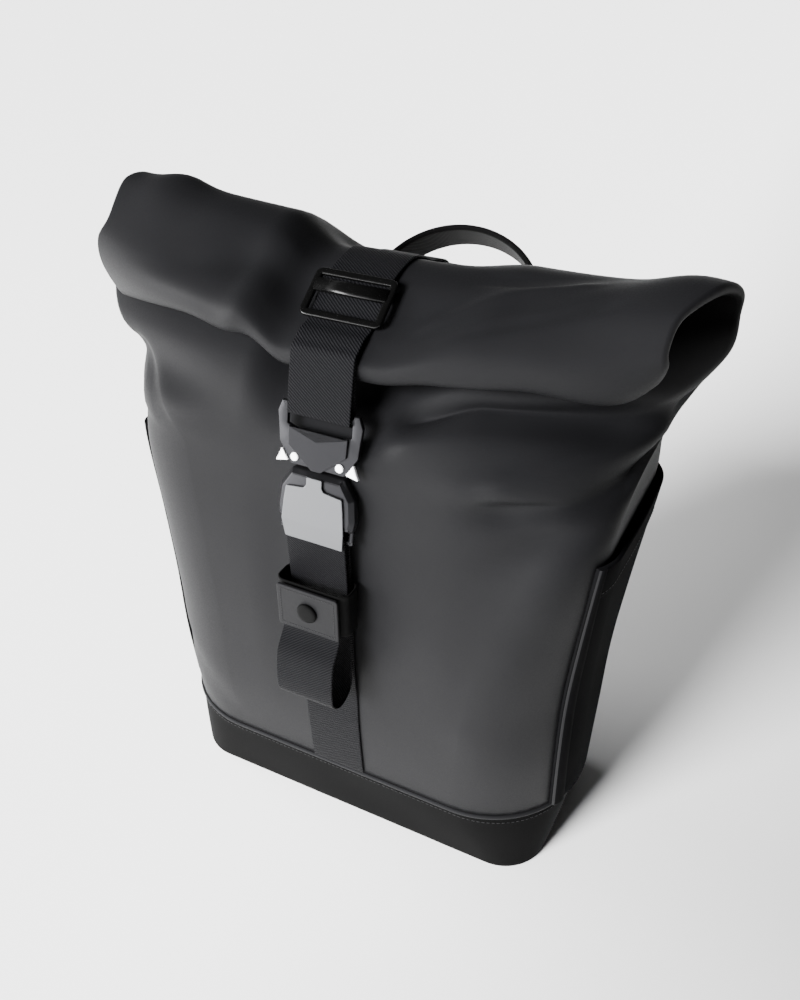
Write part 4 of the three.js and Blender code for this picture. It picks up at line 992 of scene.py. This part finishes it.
def middle_line(wall, rows):
    """The skin's middle line on one wall, in the YZ plane."""
    return skin(np.asarray(rows, float), middle_of(wall))[:, 0, 1:]


def offset_line(line, distance):
    """The line moved to its left: along the mean of the two neighbouring directions' normals."""
    line = np.asarray(line, float)
    step = to_unit(np.diff(line, axis=0))
    into = np.concatenate([step[:1], step])
    along = to_unit(into + np.concatenate([step, step[-1:]]))
    stretch = 1 / np.maximum(np.sum(along * into, axis=1), 0.3)
    return line + to_left(along) * (distance * stretch)[:, None]


def arc(y, z, radius, start, end, steps):
    """Points of a circle's arc in the YZ plane, angles in degrees from +Y towards +Z."""
    angle = np.radians(np.linspace(start, end, steps + 1))
    return np.stack([y + radius * np.cos(angle), z + radius * np.sin(angle)], axis=-1)


# %% [markdown]
# ### Where the buckle and the slider stand
# The buckle leans forward by 11 degrees about its upper bar. The slider lies flat on the strap, a
# little below the top of the roll.

# %% Buckle and slider frames
BUCKLE_TILT = math.radians(11)
BUCKLE_HANG = 20.4
BUCKLE_STAND = 1.0
BUCKLE_HEIGHT = skin([float(ROW["lower edge"])], middle_of("back"))[0, 0, 2] - BUCKLE_HANG
BUCKLE_DROP = 74.0
LOWER_BAR_BACK = 3.4
BAR = 2.8
WRAP = BAR / math.sqrt(2) + CLEAR + WEBBING / 2


def in_buckle(points):
    """Points (..., 3) of the buckle's own frame turned by its tilt and moved to its bar."""
    points = np.asarray(points, float)
    x, y, z = points[..., 0], points[..., 1], points[..., 2]
    cos, sin = math.cos(BUCKLE_TILT), math.sin(BUCKLE_TILT)
    return np.stack([x, y * cos + z * sin - BUCKLE_STAND, -y * sin + z * cos + BUCKLE_HEIGHT], axis=-1)


def buckle_line(line):
    """The same for a line in the YZ plane."""
    return in_buckle(np.insert(line, 0, 0, axis=1))[:, 1:]


SLIDER_ROW = ROW["brow"] + 0.8
SLIDER_LENGTH = 31.0
SLIDER_UNDER_BAR = 1.8
slider_skin = middle_line("back", [SLIDER_ROW - 0.3, SLIDER_ROW, SLIDER_ROW + 0.3])
slider_along = to_unit(slider_skin[2] - slider_skin[0])
slider_out = np.array([slider_along[1], -slider_along[0]])
STRAP_LIFT = 2 * CLEAR + SLIDER_UNDER_BAR + WEBBING / 2
print("buckle bar at", round(BUCKLE_HEIGHT, 1), "mm, slider at", slider_skin[1].round(1))

# %% Top strap
LYING = CLEAR + WEBBING / 2
DOUBLED = LYING + WEBBING + CLEAR
over = offset_line(middle_line("back", np.arange(ROW["chest"] - 0.5, ROW["fold"] + 0.51, 0.5)), -LYING)
lifted = [slider_skin[1] + slider_along * along + slider_out * STRAP_LIFT
          for along in (-SLIDER_LENGTH / 2, 0, SLIDER_LENGTH / 2)]
down_rows = [ROW["face"], ROW["face"] + 0.5, ROW["chin"]]
down = offset_line(middle_line("back", down_rows), -DOUBLED)
turn = buckle_line(arc(0, 0, WRAP, 180, 360, 8))
under = offset_line(middle_line("back", down_rows), -LYING)[::-1]
strap_line = smooth_line(np.concatenate([over, lifted, down, turn, under]), 2.0)
rings, uv = band(strap_line, STRAP_WIDTH, WEBBING)
make_piece("webbing_top", *tube(rings), strap_webbing, "webbing", ("top_strap",), uv=uv)

# %% Lower strap
KEEPER_HEIGHT = 31.0
KEEPER_TOP = BUCKLE_HEIGHT - 106
KEEPER_BOTTOM = KEEPER_TOP - KEEPER_HEIGHT
KEEPER_DEPTH = 18.0
KEEPER_WALL = 1.5
KEEPER_STAND = 6.0
LOOP_BOTTOM = KEEPER_TOP - 87
LOOP_RADIUS = 12.2
keeper_middle = -KEEPER_STAND - KEEPER_DEPTH / 2
rear_layer = -KEEPER_STAND - KEEPER_WALL - 2 * CLEAR - WEBBING / 2
front_layer = rear_layer - WEBBING - 4 * CLEAR
loop_middle = front_layer - LOOP_RADIUS - 2 * CLEAR
tail_middle = keeper_middle - KEEPER_DEPTH / 2 - CLEAR - WEBBING / 2
sewn = offset_line(middle_line("front", [0.05, 0.5, 1, 1.5]), LYING)
up_part = [(rear_layer + CLEAR, LOOP_BOTTOM + 17), (rear_layer, KEEPER_BOTTOM), (rear_layer, KEEPER_TOP)]
turn = buckle_line(arc(LOWER_BAR_BACK, -BUCKLE_DROP, WRAP, 0, 180, 8))
down_front = [(front_layer - WEBBING, KEEPER_TOP), (front_layer, KEEPER_BOTTOM),
              (front_layer + CLEAR, LOOP_BOTTOM + 32), (front_layer - CLEAR, LOOP_BOTTOM + 17)]
loop = arc(loop_middle, LOOP_BOTTOM + LOOP_RADIUS + WEBBING / 2, LOOP_RADIUS, -10, -170, 8)
tail = [(loop_middle - LOOP_RADIUS, LOOP_BOTTOM + 22), (loop_middle - 0.8 * LOOP_RADIUS, LOOP_BOTTOM + 38),
        (tail_middle - 2.4, KEEPER_BOTTOM - 8), (tail_middle, KEEPER_BOTTOM - 1),
        (tail_middle, KEEPER_TOP - 4)]
strap_line = smooth_line(np.concatenate([sewn, up_part, turn, down_front, loop, tail]), 2.0)
rings, uv = band(strap_line, STRAP_WIDTH, WEBBING)
make_piece("webbing_lower", *tube(rings), strap_webbing, "webbing", ("lower_strap",), uv=uv)

# %% [markdown]
# ## Slider
# The slider is moulded in one: a frame round two slots, and a broad rounded bar between them. Its
# rim is an oval profile carried round a rounded rectangle, and the bar is an oval rod.

# %% Slider
SLIDER_WIDTH = 51.0
RIM = 4.4
SLIDER_THICK = 3.0
slider_base = STRAP_LIFT + WEBBING / 2 + CLEAR
slider_mid = np.array([0, *(slider_skin[1] + slider_out * (slider_base + SLIDER_THICK / 2))])
axis_along = np.array([0, *slider_along])
axis_out = np.array([0, *slider_out])
axis_x = np.array([1.0, 0, 0])
half_path = SLIDER_LENGTH / 2 - RIM / 2
path = rounded_ring(SLIDER_WIDTH / 2 - RIM / 2, -half_path, half_path, 2.2, 6, 16, 10)
step = np.roll(path, -1, axis=0) - np.roll(path, 1, axis=0)
outward = -to_left(to_unit(step))
angle = (np.arange(20) + 0.5) * math.tau / 20
wide = squared(np.cos(angle), 0.62) * RIM / 2
tall = squared(np.sin(angle), 0.62) * SLIDER_THICK / 2
spots = path[:, None] + outward[:, None] * wide[None, :, None]
rim = slider_mid + spots[..., :1] * axis_x + spots[..., 1:] * axis_along + tall[None, :, None] * axis_out
inner_half = SLIDER_WIDTH / 2 - RIM + 1.2
bars = [loop_tube(rim)]
for along, half_width, lift, half_height in ((-4.6, 4.2, 0.5, 2.1), (0.0, 2.3, -5.6, 0.85)):
    middle = slider_mid + axis_along * along + axis_out * lift
    bars.append(round_rod(middle - axis_x * inner_half, middle + axis_x * inner_half, half_width, half_height,
                          axis_along, axis_out, 20, 0.75))
make_piece("slider_moulding", *joined(bars), slider_abs, "black_plastic", ("slider",))

# %% [markdown]
# ## Buckle
# Two castings meet in the middle. The upper frame has lugs at both ends of its bar and carries a
# raised plate with a pointed edge; the lower body has bevelled shoulders and a flap over its front.
# All edges are rounded, because a cast and tumbled edge is never sharp.

# %% Upper frame
RAIL = STRAP_WIDTH / 2 + 2 * CLEAR
outer_half = [(0, 1.4), (RAIL + 0.4, 1.4), (RAIL + 1.0, 3.3), (24.5, 3.3), (27, -3.3), (26, -11.9),
              (25.2, -20.8), (17.2, -33), (8, -33), (0, -33)]
inner_half_line = [(0, -1.4), (RAIL - 0.6, -1.4), (RAIL - 0.2, -1.5), (RAIL, -2.0), (RAIL, -3.6),
                   (RAIL, -9.6), (17.0, -11.0), (10, -12.9), (4, -14.5), (0, -15.5)]


def buckle_piece(name, shape, material, slot, node, sharp=35):
    """A piece of the buckle: its shape, drawn upright, is leant and hung with the buckle."""
    points, faces = shape
    make_piece(name, in_buckle(points), faces, material, slot, (node,), sharp=sharp)


def both_sides(right):
    """A right half that starts and ends on the middle line, with its mirror image."""
    right = np.asarray(right, float)
    return np.concatenate([right, right[-2:0:-1] * (-1, 1)])


def finer(outline, steps):
    """Each edge of an outline split into equal steps, so that two outlines match point by point."""
    t = np.arange(steps)[None, :, None] / steps
    return (outline[:, None] + (np.roll(outline, -1, axis=0) - outline)[:, None] * t).reshape(-1, 2)


outer_loop = finer(both_sides(outer_half), 6)
inner_loop = finer(both_sides(inner_half_line), 6)
EDGE = 0.45
quarter = np.linspace(0, math.pi / 2, 4)
gap = np.linalg.norm(inner_loop - outer_loop, axis=1)[:, None]
section = [(EDGE * (1 - math.sin(a)), EDGE * (1 - math.cos(a))) for a in quarter[::-1]]
profile = [(inset, depth, True) for inset, depth in section]
profile += [(inset, depth, False) for inset, depth in section[::-1]]
profile += [(inset, BAR - depth, False) for inset, depth in section]
profile += [(inset, BAR - depth, True) for inset, depth in section[::-1]]
frame_rings = []
for inset, depth, from_outer in profile:
    share = np.minimum(inset / gap, 0.45)
    place = outer_loop + (inner_loop - outer_loop) * (share if from_outer else 1 - share)
    frame_rings.append(np.insert(place, 1, -BAR / 2 + depth, axis=1))
upper_frame = loop_tube(np.stack(frame_rings))
buckle_piece("buckle_upper_casting", upper_frame, zinc_grey, "grey_metal", "buckle_frame")

# %% Plate, dots and guides
PLATE_THICK = 1.3
GUIDE_THICK = 2.4
DOT_PLACE = (14.6, -28.4)
plate_half = RAIL - 1.6
plate_outline = eased(mirrored([(0.2, -15.9), (plate_half, -10.1), (plate_half - 0.4, -21.5), (3, -34)]), 0.7)
plate = slab(plate_outline, -BAR / 2 - CLEAR - PLATE_THICK, PLATE_THICK, 0.3)
buckle_piece("buckle_raised_plate", plate, zinc_plate, "satin_metal", "buckle_plate")
dot_profile = [(0.4, 1.2), (1.9, 1.17), (2.3, 1.0), (2.5, 0.6), (2.5, 0.0), (0.4, 0.0)]
for name, side in SIDES:
    middle = (side * DOT_PLACE[0], -BAR / 2 - CLEAR, DOT_PLACE[1])
    dot = turned(dot_profile, middle, (0, -1, 0), (1, 0, 0), (0, 0, 1), 28)
    buckle_piece(f"buckle_dot_cap_{name}", dot, white_acetal, "white_plastic", f"buckle_dot_{name}", 50)
    high, low = np.array([25.2, -20.8]), np.array([17.2, -33.0])
    away = np.array([-(low - high)[1], (low - high)[0]])
    away *= 1.2 * CLEAR / np.linalg.norm(away)
    wedge = np.array([high + (low - high) * 0.3 + away, high + (low - high) * 0.85 + away, (26.8, -33.0)])
    guide = slab(eased(wedge * (side, 1), 0.8, 5), -GUIDE_THICK, GUIDE_THICK, 0.35)
    buckle_piece(f"buckle_guide_cap_{name}", guide, white_acetal, "white_plastic", f"buckle_guide_{name}", 50)

# %% [markdown]
# ### Lower body and flap
# The body is a faceted block whose front is smaller than its back, so its shoulders slope. The flap
# lies on it: flat at first, then curved away towards the strap.

# %% Lower body
BODY_FRONT = -BAR / 2 - 1.0
BODY_TOP = -35.6
BODY_BOTTOM = -67.0
body_outline = eased(mirrored([(17, BODY_TOP), (24.1, -46.6), (25.5, -60), (24.1, BODY_BOTTOM)]), 1.0, 3)
shrink = [(3.4, 0.0), (2.6, 0.15), (0.3, 2.6), (0.0, 3.2), (0.0, 6.4), (0.6, 7.0)]
rings = [np.insert(drawn_in(body_outline, inset), 1, BODY_FRONT + depth, axis=1) for inset, depth in shrink]
block = tube(np.stack(rings))
rods = [round_rod((-24.0, LOWER_BAR_BACK, -BUCKLE_DROP), (24.0, LOWER_BAR_BACK, -BUCKLE_DROP), 1.4, 1.4,
                  (0, 1, 0), (0, 0, 1), 16, 0.6)]
for side in (-1, 1):
    x = side * 22.4
    rods.append(round_rod((x, LOWER_BAR_BACK, -63.0), (x, LOWER_BAR_BACK, -BUCKLE_DROP - 1.4), 1.5, 1.4,
                          (1, 0, 0), (0, 1, 0), 16, 0.6))
buckle_piece("buckle_lower_casting", joined([block] + rods), zinc_grey, "grey_metal", "buckle_body", 32)

# %% Flap
FLAP_THICK = 1.4
FLAP_CURL = 24.0
FLAP_TURN = math.radians(14)
curl_start = BODY_BOTTOM + 3


def flap_bend(z):
    """How far the flap's lower end leans back: a circle's arc from curl_start down, then its tangent."""
    below = np.maximum(curl_start - z, 0)
    on_arc = np.minimum(below, FLAP_CURL * math.sin(FLAP_TURN))
    rest = below - on_arc
    return FLAP_CURL - np.sqrt(FLAP_CURL ** 2 - on_arc ** 2) + rest * math.tan(FLAP_TURN)


flap_sides = [(20.5 - 1.4 * t, BODY_BOTTOM - 12.2 * t) for t in np.linspace(0, 1, 9)]
flap_head = [(5, BODY_TOP - 2.2), (5, -42.5), (6.5, -44.6), (18.3, -46.0), (19.4, -54.0)]
flap_outline = mirrored(flap_head + flap_sides)
points, faces = slab(eased(flap_outline, 0.8), BODY_FRONT - CLEAR - FLAP_THICK, FLAP_THICK, 0.35)
points[:, 1] += flap_bend(points[:, 2])
buckle_piece("buckle_flap_plate", (points, faces), aluminium_satin, "satin_metal", "buckle_flap")

# %% [markdown]
# ## Keeper, snap tab and button
# The keeper is a sleeve of microfibre leather round the strap. The tab in front is a doubled piece
# of the same, stitched round its edge, and the button is a low dome with a rounded rim.

# %% Keeper
keeper_half = STRAP_WIDTH / 2 + 4.5
keeper_path = rounded_ring(keeper_half, keeper_middle - KEEPER_DEPTH / 2, keeper_middle + KEEPER_DEPTH / 2,
                           6.0, 10, 24, 6)
rim_angle = np.linspace(0, math.pi, 8)
half = KEEPER_WALL / 2
profile = [(half - half * math.cos(a), KEEPER_TOP - half + half * math.sin(a)) for a in rim_angle]
profile += [(half + half * math.cos(a), KEEPER_BOTTOM + half - half * math.sin(a)) for a in rim_angle]
profile.insert(8, (KEEPER_WALL, (KEEPER_TOP + KEEPER_BOTTOM) / 2))
profile += [(0.0, z) for z in np.linspace(KEEPER_BOTTOM + 2, KEEPER_TOP - 2, 8)]
rings = []
for inset, z in profile:
    flare = 0.35 * smoothstep(z, KEEPER_TOP - 4, KEEPER_TOP)
    ring = drawn_in(keeper_path, inset - flare)
    rings.append(np.insert(ring, 2, z, axis=1))
# the sleeve takes the darker copy of the leather: painted shade
make_piece("keeper_sleeve", *loop_tube(np.stack(rings)), sleeve_fibre_painted_shade, "leather", ("keeper",))

# %% Snap tab and button
TAB_HALF = 21.0
TAB_HEIGHT = 31.0
TAB_THICK = 2.0
tab_back = tail_middle - WEBBING / 2 - CLEAR
tab_z = KEEPER_TOP - TAB_HEIGHT / 2 - 0.5
tab_front = tab_back - TAB_THICK
corners = [(TAB_HALF, TAB_HEIGHT / 2), (TAB_HALF, -TAB_HEIGHT / 2)]
tab_outline = eased(mirrored(corners), 2.2, 6) + (0, tab_z)
points, faces = slab(tab_outline, tab_front, TAB_THICK, 0.55, 4)
make_piece("snap_tab_leather", points, faces, microfibre, "leather", ("snap_tab",), sharp=50)
seam_line = np.insert(finer(drawn_in(tab_outline, 2.6), 3), 1, tab_front - 0.02, axis=1)
seam_line = np.concatenate([seam_line, seam_line[:1]])
forward = np.zeros_like(seam_line) + (0, -1, 0)
make_piece("snap_tab_stitches", *stitch_row(seam_line, forward, 2.0, 1.3, 0.22), thread, "leather")
button_profile = [(0.5, 1.95), (4.0, 1.9), (5.6, 1.75), (6.35, 1.4), (6.7, 0.9), (6.75, 0.3), (6.6, 0.0),
                  (0.5, 0.0)]
points, faces = turned(button_profile, (0, tab_front - CLEAR, tab_z), (0, -1, 0), (1, 0, 0), (0, 0, 1), 48)
make_piece("snap_button_cap", points, faces, snap_brass, "snap_metal", ("snap_button",), sharp=60)

# %% [markdown]
# ## Carry handle
# A loop of doubled webbing, sewn to the back below the roll. Its line is a half ellipse in a plane
# that leans back; its feet are cut along the back panel.

# %% Carry handle
HANDLE_WIDTH = 25.0
HANDLE_THICK = 4.0
HANDLE_LEAN = math.radians(42)
HANDLE_FOOT = BAG_HEIGHT - 75
HANDLE_SHIFT = 9.0
HANDLE_GAP = CLEAR + 0.7
HANDLE_REACH = (61, 58)
up = np.array([0, math.sin(HANDLE_LEAN), math.cos(HANDLE_LEAN)])
across_handle = np.array([0, math.cos(HANDLE_LEAN), -math.sin(HANDLE_LEAN)])
back_rows = np.linspace(0, ROW["crown"], 400)
back_line = middle_line("back", back_rows)


def back_at(z):
    """Where the middle of the back lies at a height."""
    return np.interp(z, back_line[:, 1], back_line[:, 0])


start = np.array([0, back_at(HANDLE_FOOT) + HANDLE_GAP, HANDLE_FOOT]) + across_handle * HANDLE_WIDTH / 2
angle = np.linspace(0, math.pi, 61)
arch = np.stack([-HANDLE_REACH[0] * np.cos(angle), HANDLE_REACH[1] * np.sin(angle)], axis=-1)
profile = band_profile(HANDLE_WIDTH, HANDLE_THICK, 10, 5)
flat = arch[:, None] + line_normals(arch)[:, None] * profile[None, :, 1:]
rings = (start + flat[..., :1] * np.array([1.0, 0, 0]) + flat[..., 1:] * up +
         profile[None, :, :1] * across_handle + np.array([HANDLE_SHIFT, 0, 0]))
# the feet are cut along the back: each of their points slides along the arch's plane until it meets it
for row in (0, -1):
    for turn in range(8):
        rings[row] += up * ((back_at(rings[row][:, 2]) + HANDLE_GAP - rings[row][:, 1]) / up[1])[:, None]
make_piece("webbing_handle", *tube(rings), handle_webbing, "webbing", ("carry_handle",),
           uv=cloth_uv(profile, arch))

# %% [markdown]
# ## Shoulder straps
# Each strap is a foam pad covered in mesh cloth, bound at its edge. Its section is crowned: thick in
# the middle and pulled in where the binding is sewn on. A strip of webbing runs from its lower end
# to the base. They hang behind the bag, so the photograph doesn't show them; this is the plain form.

# %% Shoulder straps
PAD_WIDTH = 58.0
PAD_THICK = 9.0
PAD_SPACING = 130.0
PAD_TOP = BAG_HEIGHT - 125
PAD_BOTTOM = 145.0
TAIL_WIDTH = 25.0
PAD_SWING = 16.0
pad_curve = np.array([(1, 0.01), (0.88, 0.5), (0.68, 0.94), (0.45, 1), (0.21, 0.75), (0, 0.44)])
pad_z = PAD_BOTTOM + (PAD_TOP - PAD_BOTTOM) * pad_curve[:, 0]
pad_y = back_at(pad_z) + CLEAR + PAD_THICK / 2 + pad_curve[:, 1] * PAD_SWING
pad_line = smooth_line(np.stack([pad_y, pad_z], axis=-1), 2.0)
angle = math.pi - (np.arange(56) + 0.5) * math.tau / 56
wide = squared(np.cos(angle), 0.45)
tall = squared(np.sin(angle), 0.75)
pad_out = line_normals(pad_line)
share = np.linspace(0, 1, len(pad_line))
end_round = np.sqrt(1 - np.clip(1 - np.minimum(share, 1 - share) / 0.07, 0, 1) ** 2 * 0.55)
quilt = 1 - 0.1 * np.abs(np.sin(share * math.pi * 5)) ** 8
for name, side in SIDES:
    x = side * PAD_SPACING / 2
    groove = 1 - 0.34 * np.exp(-((np.abs(wide) - 0.84) / 0.06) ** 2)
    thick = (PAD_THICK / 2) * tall[None, :] * groove[None, :] * (end_round * quilt)[:, None]
    flat = pad_line[:, None] + pad_out[:, None] * thick[..., None]
    across = x + PAD_WIDTH / 2 * wide[None, :] * (0.82 + 0.18 * end_round)[:, None]
    rings = np.concatenate([across[..., None], flat], axis=-1)
    pad = make_piece(f"pad_mesh_{name}", *tube(rings), pad_mesh, "pad_cloth", (f"shoulder_pad_{name}",))
    tail_start = (back_at(PAD_BOTTOM) + CLEAR + PAD_THICK / 2 + 3, PAD_BOTTOM + 2 * CLEAR)
    tail_points = [tail_start, (tail_start[0] - 3, (PAD_BOTTOM + SEAM) / 2)]
    tail_points += [(back_at(z) + CLEAR + WEBBING / 2, z) for z in (SEAM + 10, SEAM + 2 * CLEAR)]
    rings, uv = band(smooth_line(tail_points, 2.0), TAIL_WIDTH, WEBBING, x)
    make_piece(f"webbing_tail_{name}", *tube(rings), handle_webbing, "webbing", (f"strap_tail_{name}",),
               uv=uv)

# %% [markdown]
# ## Floor and light
# The bag stands on white paper with painted shade that greys it towards the right. A broad light
# comes low from the front, a little from the left, so the bag's shadow runs back and to the right.
# A weaker one comes from the left, and a soft box there gives the buckle its shine. The room is
# dark above and on the right: what faces up goes nearly black, and the front mirrors the paper.

# %% Floor
FLOOR_HALF = 9.0
PAPER = "#f2f2f2"
PAPER_PAINTED_SHADE = "#a0a0a0"
floor_mesh = bpy.data.meshes.new("floor")
floor_mesh.from_pydata([(-FLOOR_HALF, -FLOOR_HALF, 0), (FLOOR_HALF, -FLOOR_HALF, 0),
                        (FLOOR_HALF, FLOOR_HALF, 0), (-FLOOR_HALF, FLOOR_HALF, 0)], [], [(0, 1, 2, 3)])
floor_paint, floor_tree, floor_shader = new_material(
    "floor_paper_painted_shade", Base_Color=hex_colour(PAPER), Roughness=0.9)
paper_place = add_node(floor_tree, "ShaderNodeTexCoord").outputs["Object"]
paper_x = add_node(floor_tree, "ShaderNodeSeparateXYZ", {"Vector": paper_place}).outputs["X"]
# painted shade: the paper greys towards the right
painted_shade_fall = add_node(floor_tree, "ShaderNodeMapRange", {"Value": paper_x, "From Min": -0.1, "From Max": 0.5},
                interpolation_type="SMOOTHSTEP").outputs["Result"]
paper = add_node(floor_tree, "ShaderNodeMix", {"Factor": painted_shade_fall}, data_type="RGBA")
paper.inputs["A"].default_value = hex_colour(PAPER)
paper.inputs["B"].default_value = hex_colour(PAPER_PAINTED_SHADE)
floor_tree.links.new(paper.outputs["Result"], floor_shader.inputs["Base Color"])
floor_mesh.materials.append(floor_paint)
add_object("floor", floor_mesh)

# %% Light


def far_light(name, towards, angle, strength):
    """A light so far away that it is the same all over the floor; its angle sets how soft it is."""
    data = bpy.data.lights.new(name, "SUN")
    data.energy = strength
    data.angle = math.radians(angle)
    light = add_object(name, data)
    x, y, z = towards
    light.rotation_euler = (math.atan2(math.hypot(x, y), z), 0, math.atan2(y, x) + math.pi / 2)
    light.visible_glossy = False


far_light("key", towards=(-0.42, -1.0, 0.44), angle=26, strength=30.0)
far_light("side", towards=(-1.0, -0.05, 0.7), angle=35, strength=3.5)

box = bpy.data.lights.new("soft_box", "AREA")
box.size = 0.9
box.energy = 40.0
soft_box = add_object("soft_box", box)
soft_box.location = (-1.35, -1.15, 0.42)
soft_box.rotation_euler = (math.radians(86), 0, math.radians(-50))

world = bpy.data.worlds.new("world")
bpy.context.scene.world = world
world.use_nodes = True
sky = world.node_tree
direction = add_node(sky, "ShaderNodeTexCoord").outputs["Generated"]
towards = add_node(sky, "ShaderNodeSeparateXYZ", {"Vector": direction})
rise = add_node(sky, "ShaderNodeMapRange", {"Value": towards.outputs["Z"], "From Min": 0.0, "From Max": 0.55,
                                            "To Min": 1.5, "To Max": 0.03})
# the room is dark on the right as well
right = add_node(sky, "ShaderNodeMapRange", {"Value": towards.outputs["X"], "From Min": 0.25, "From Max": 0.5,
                                             "To Min": 1.0, "To Max": 0.02})
glow = add_node(sky, "ShaderNodeMath", {0: rise.outputs["Result"], 1: right.outputs["Result"]},
                operation="MULTIPLY")
background = sky.nodes["Background"]
background.inputs["Color"].default_value = hex_colour("#f4f4f4")
sky.links.new(glow.outputs["Value"], background.inputs["Strength"])
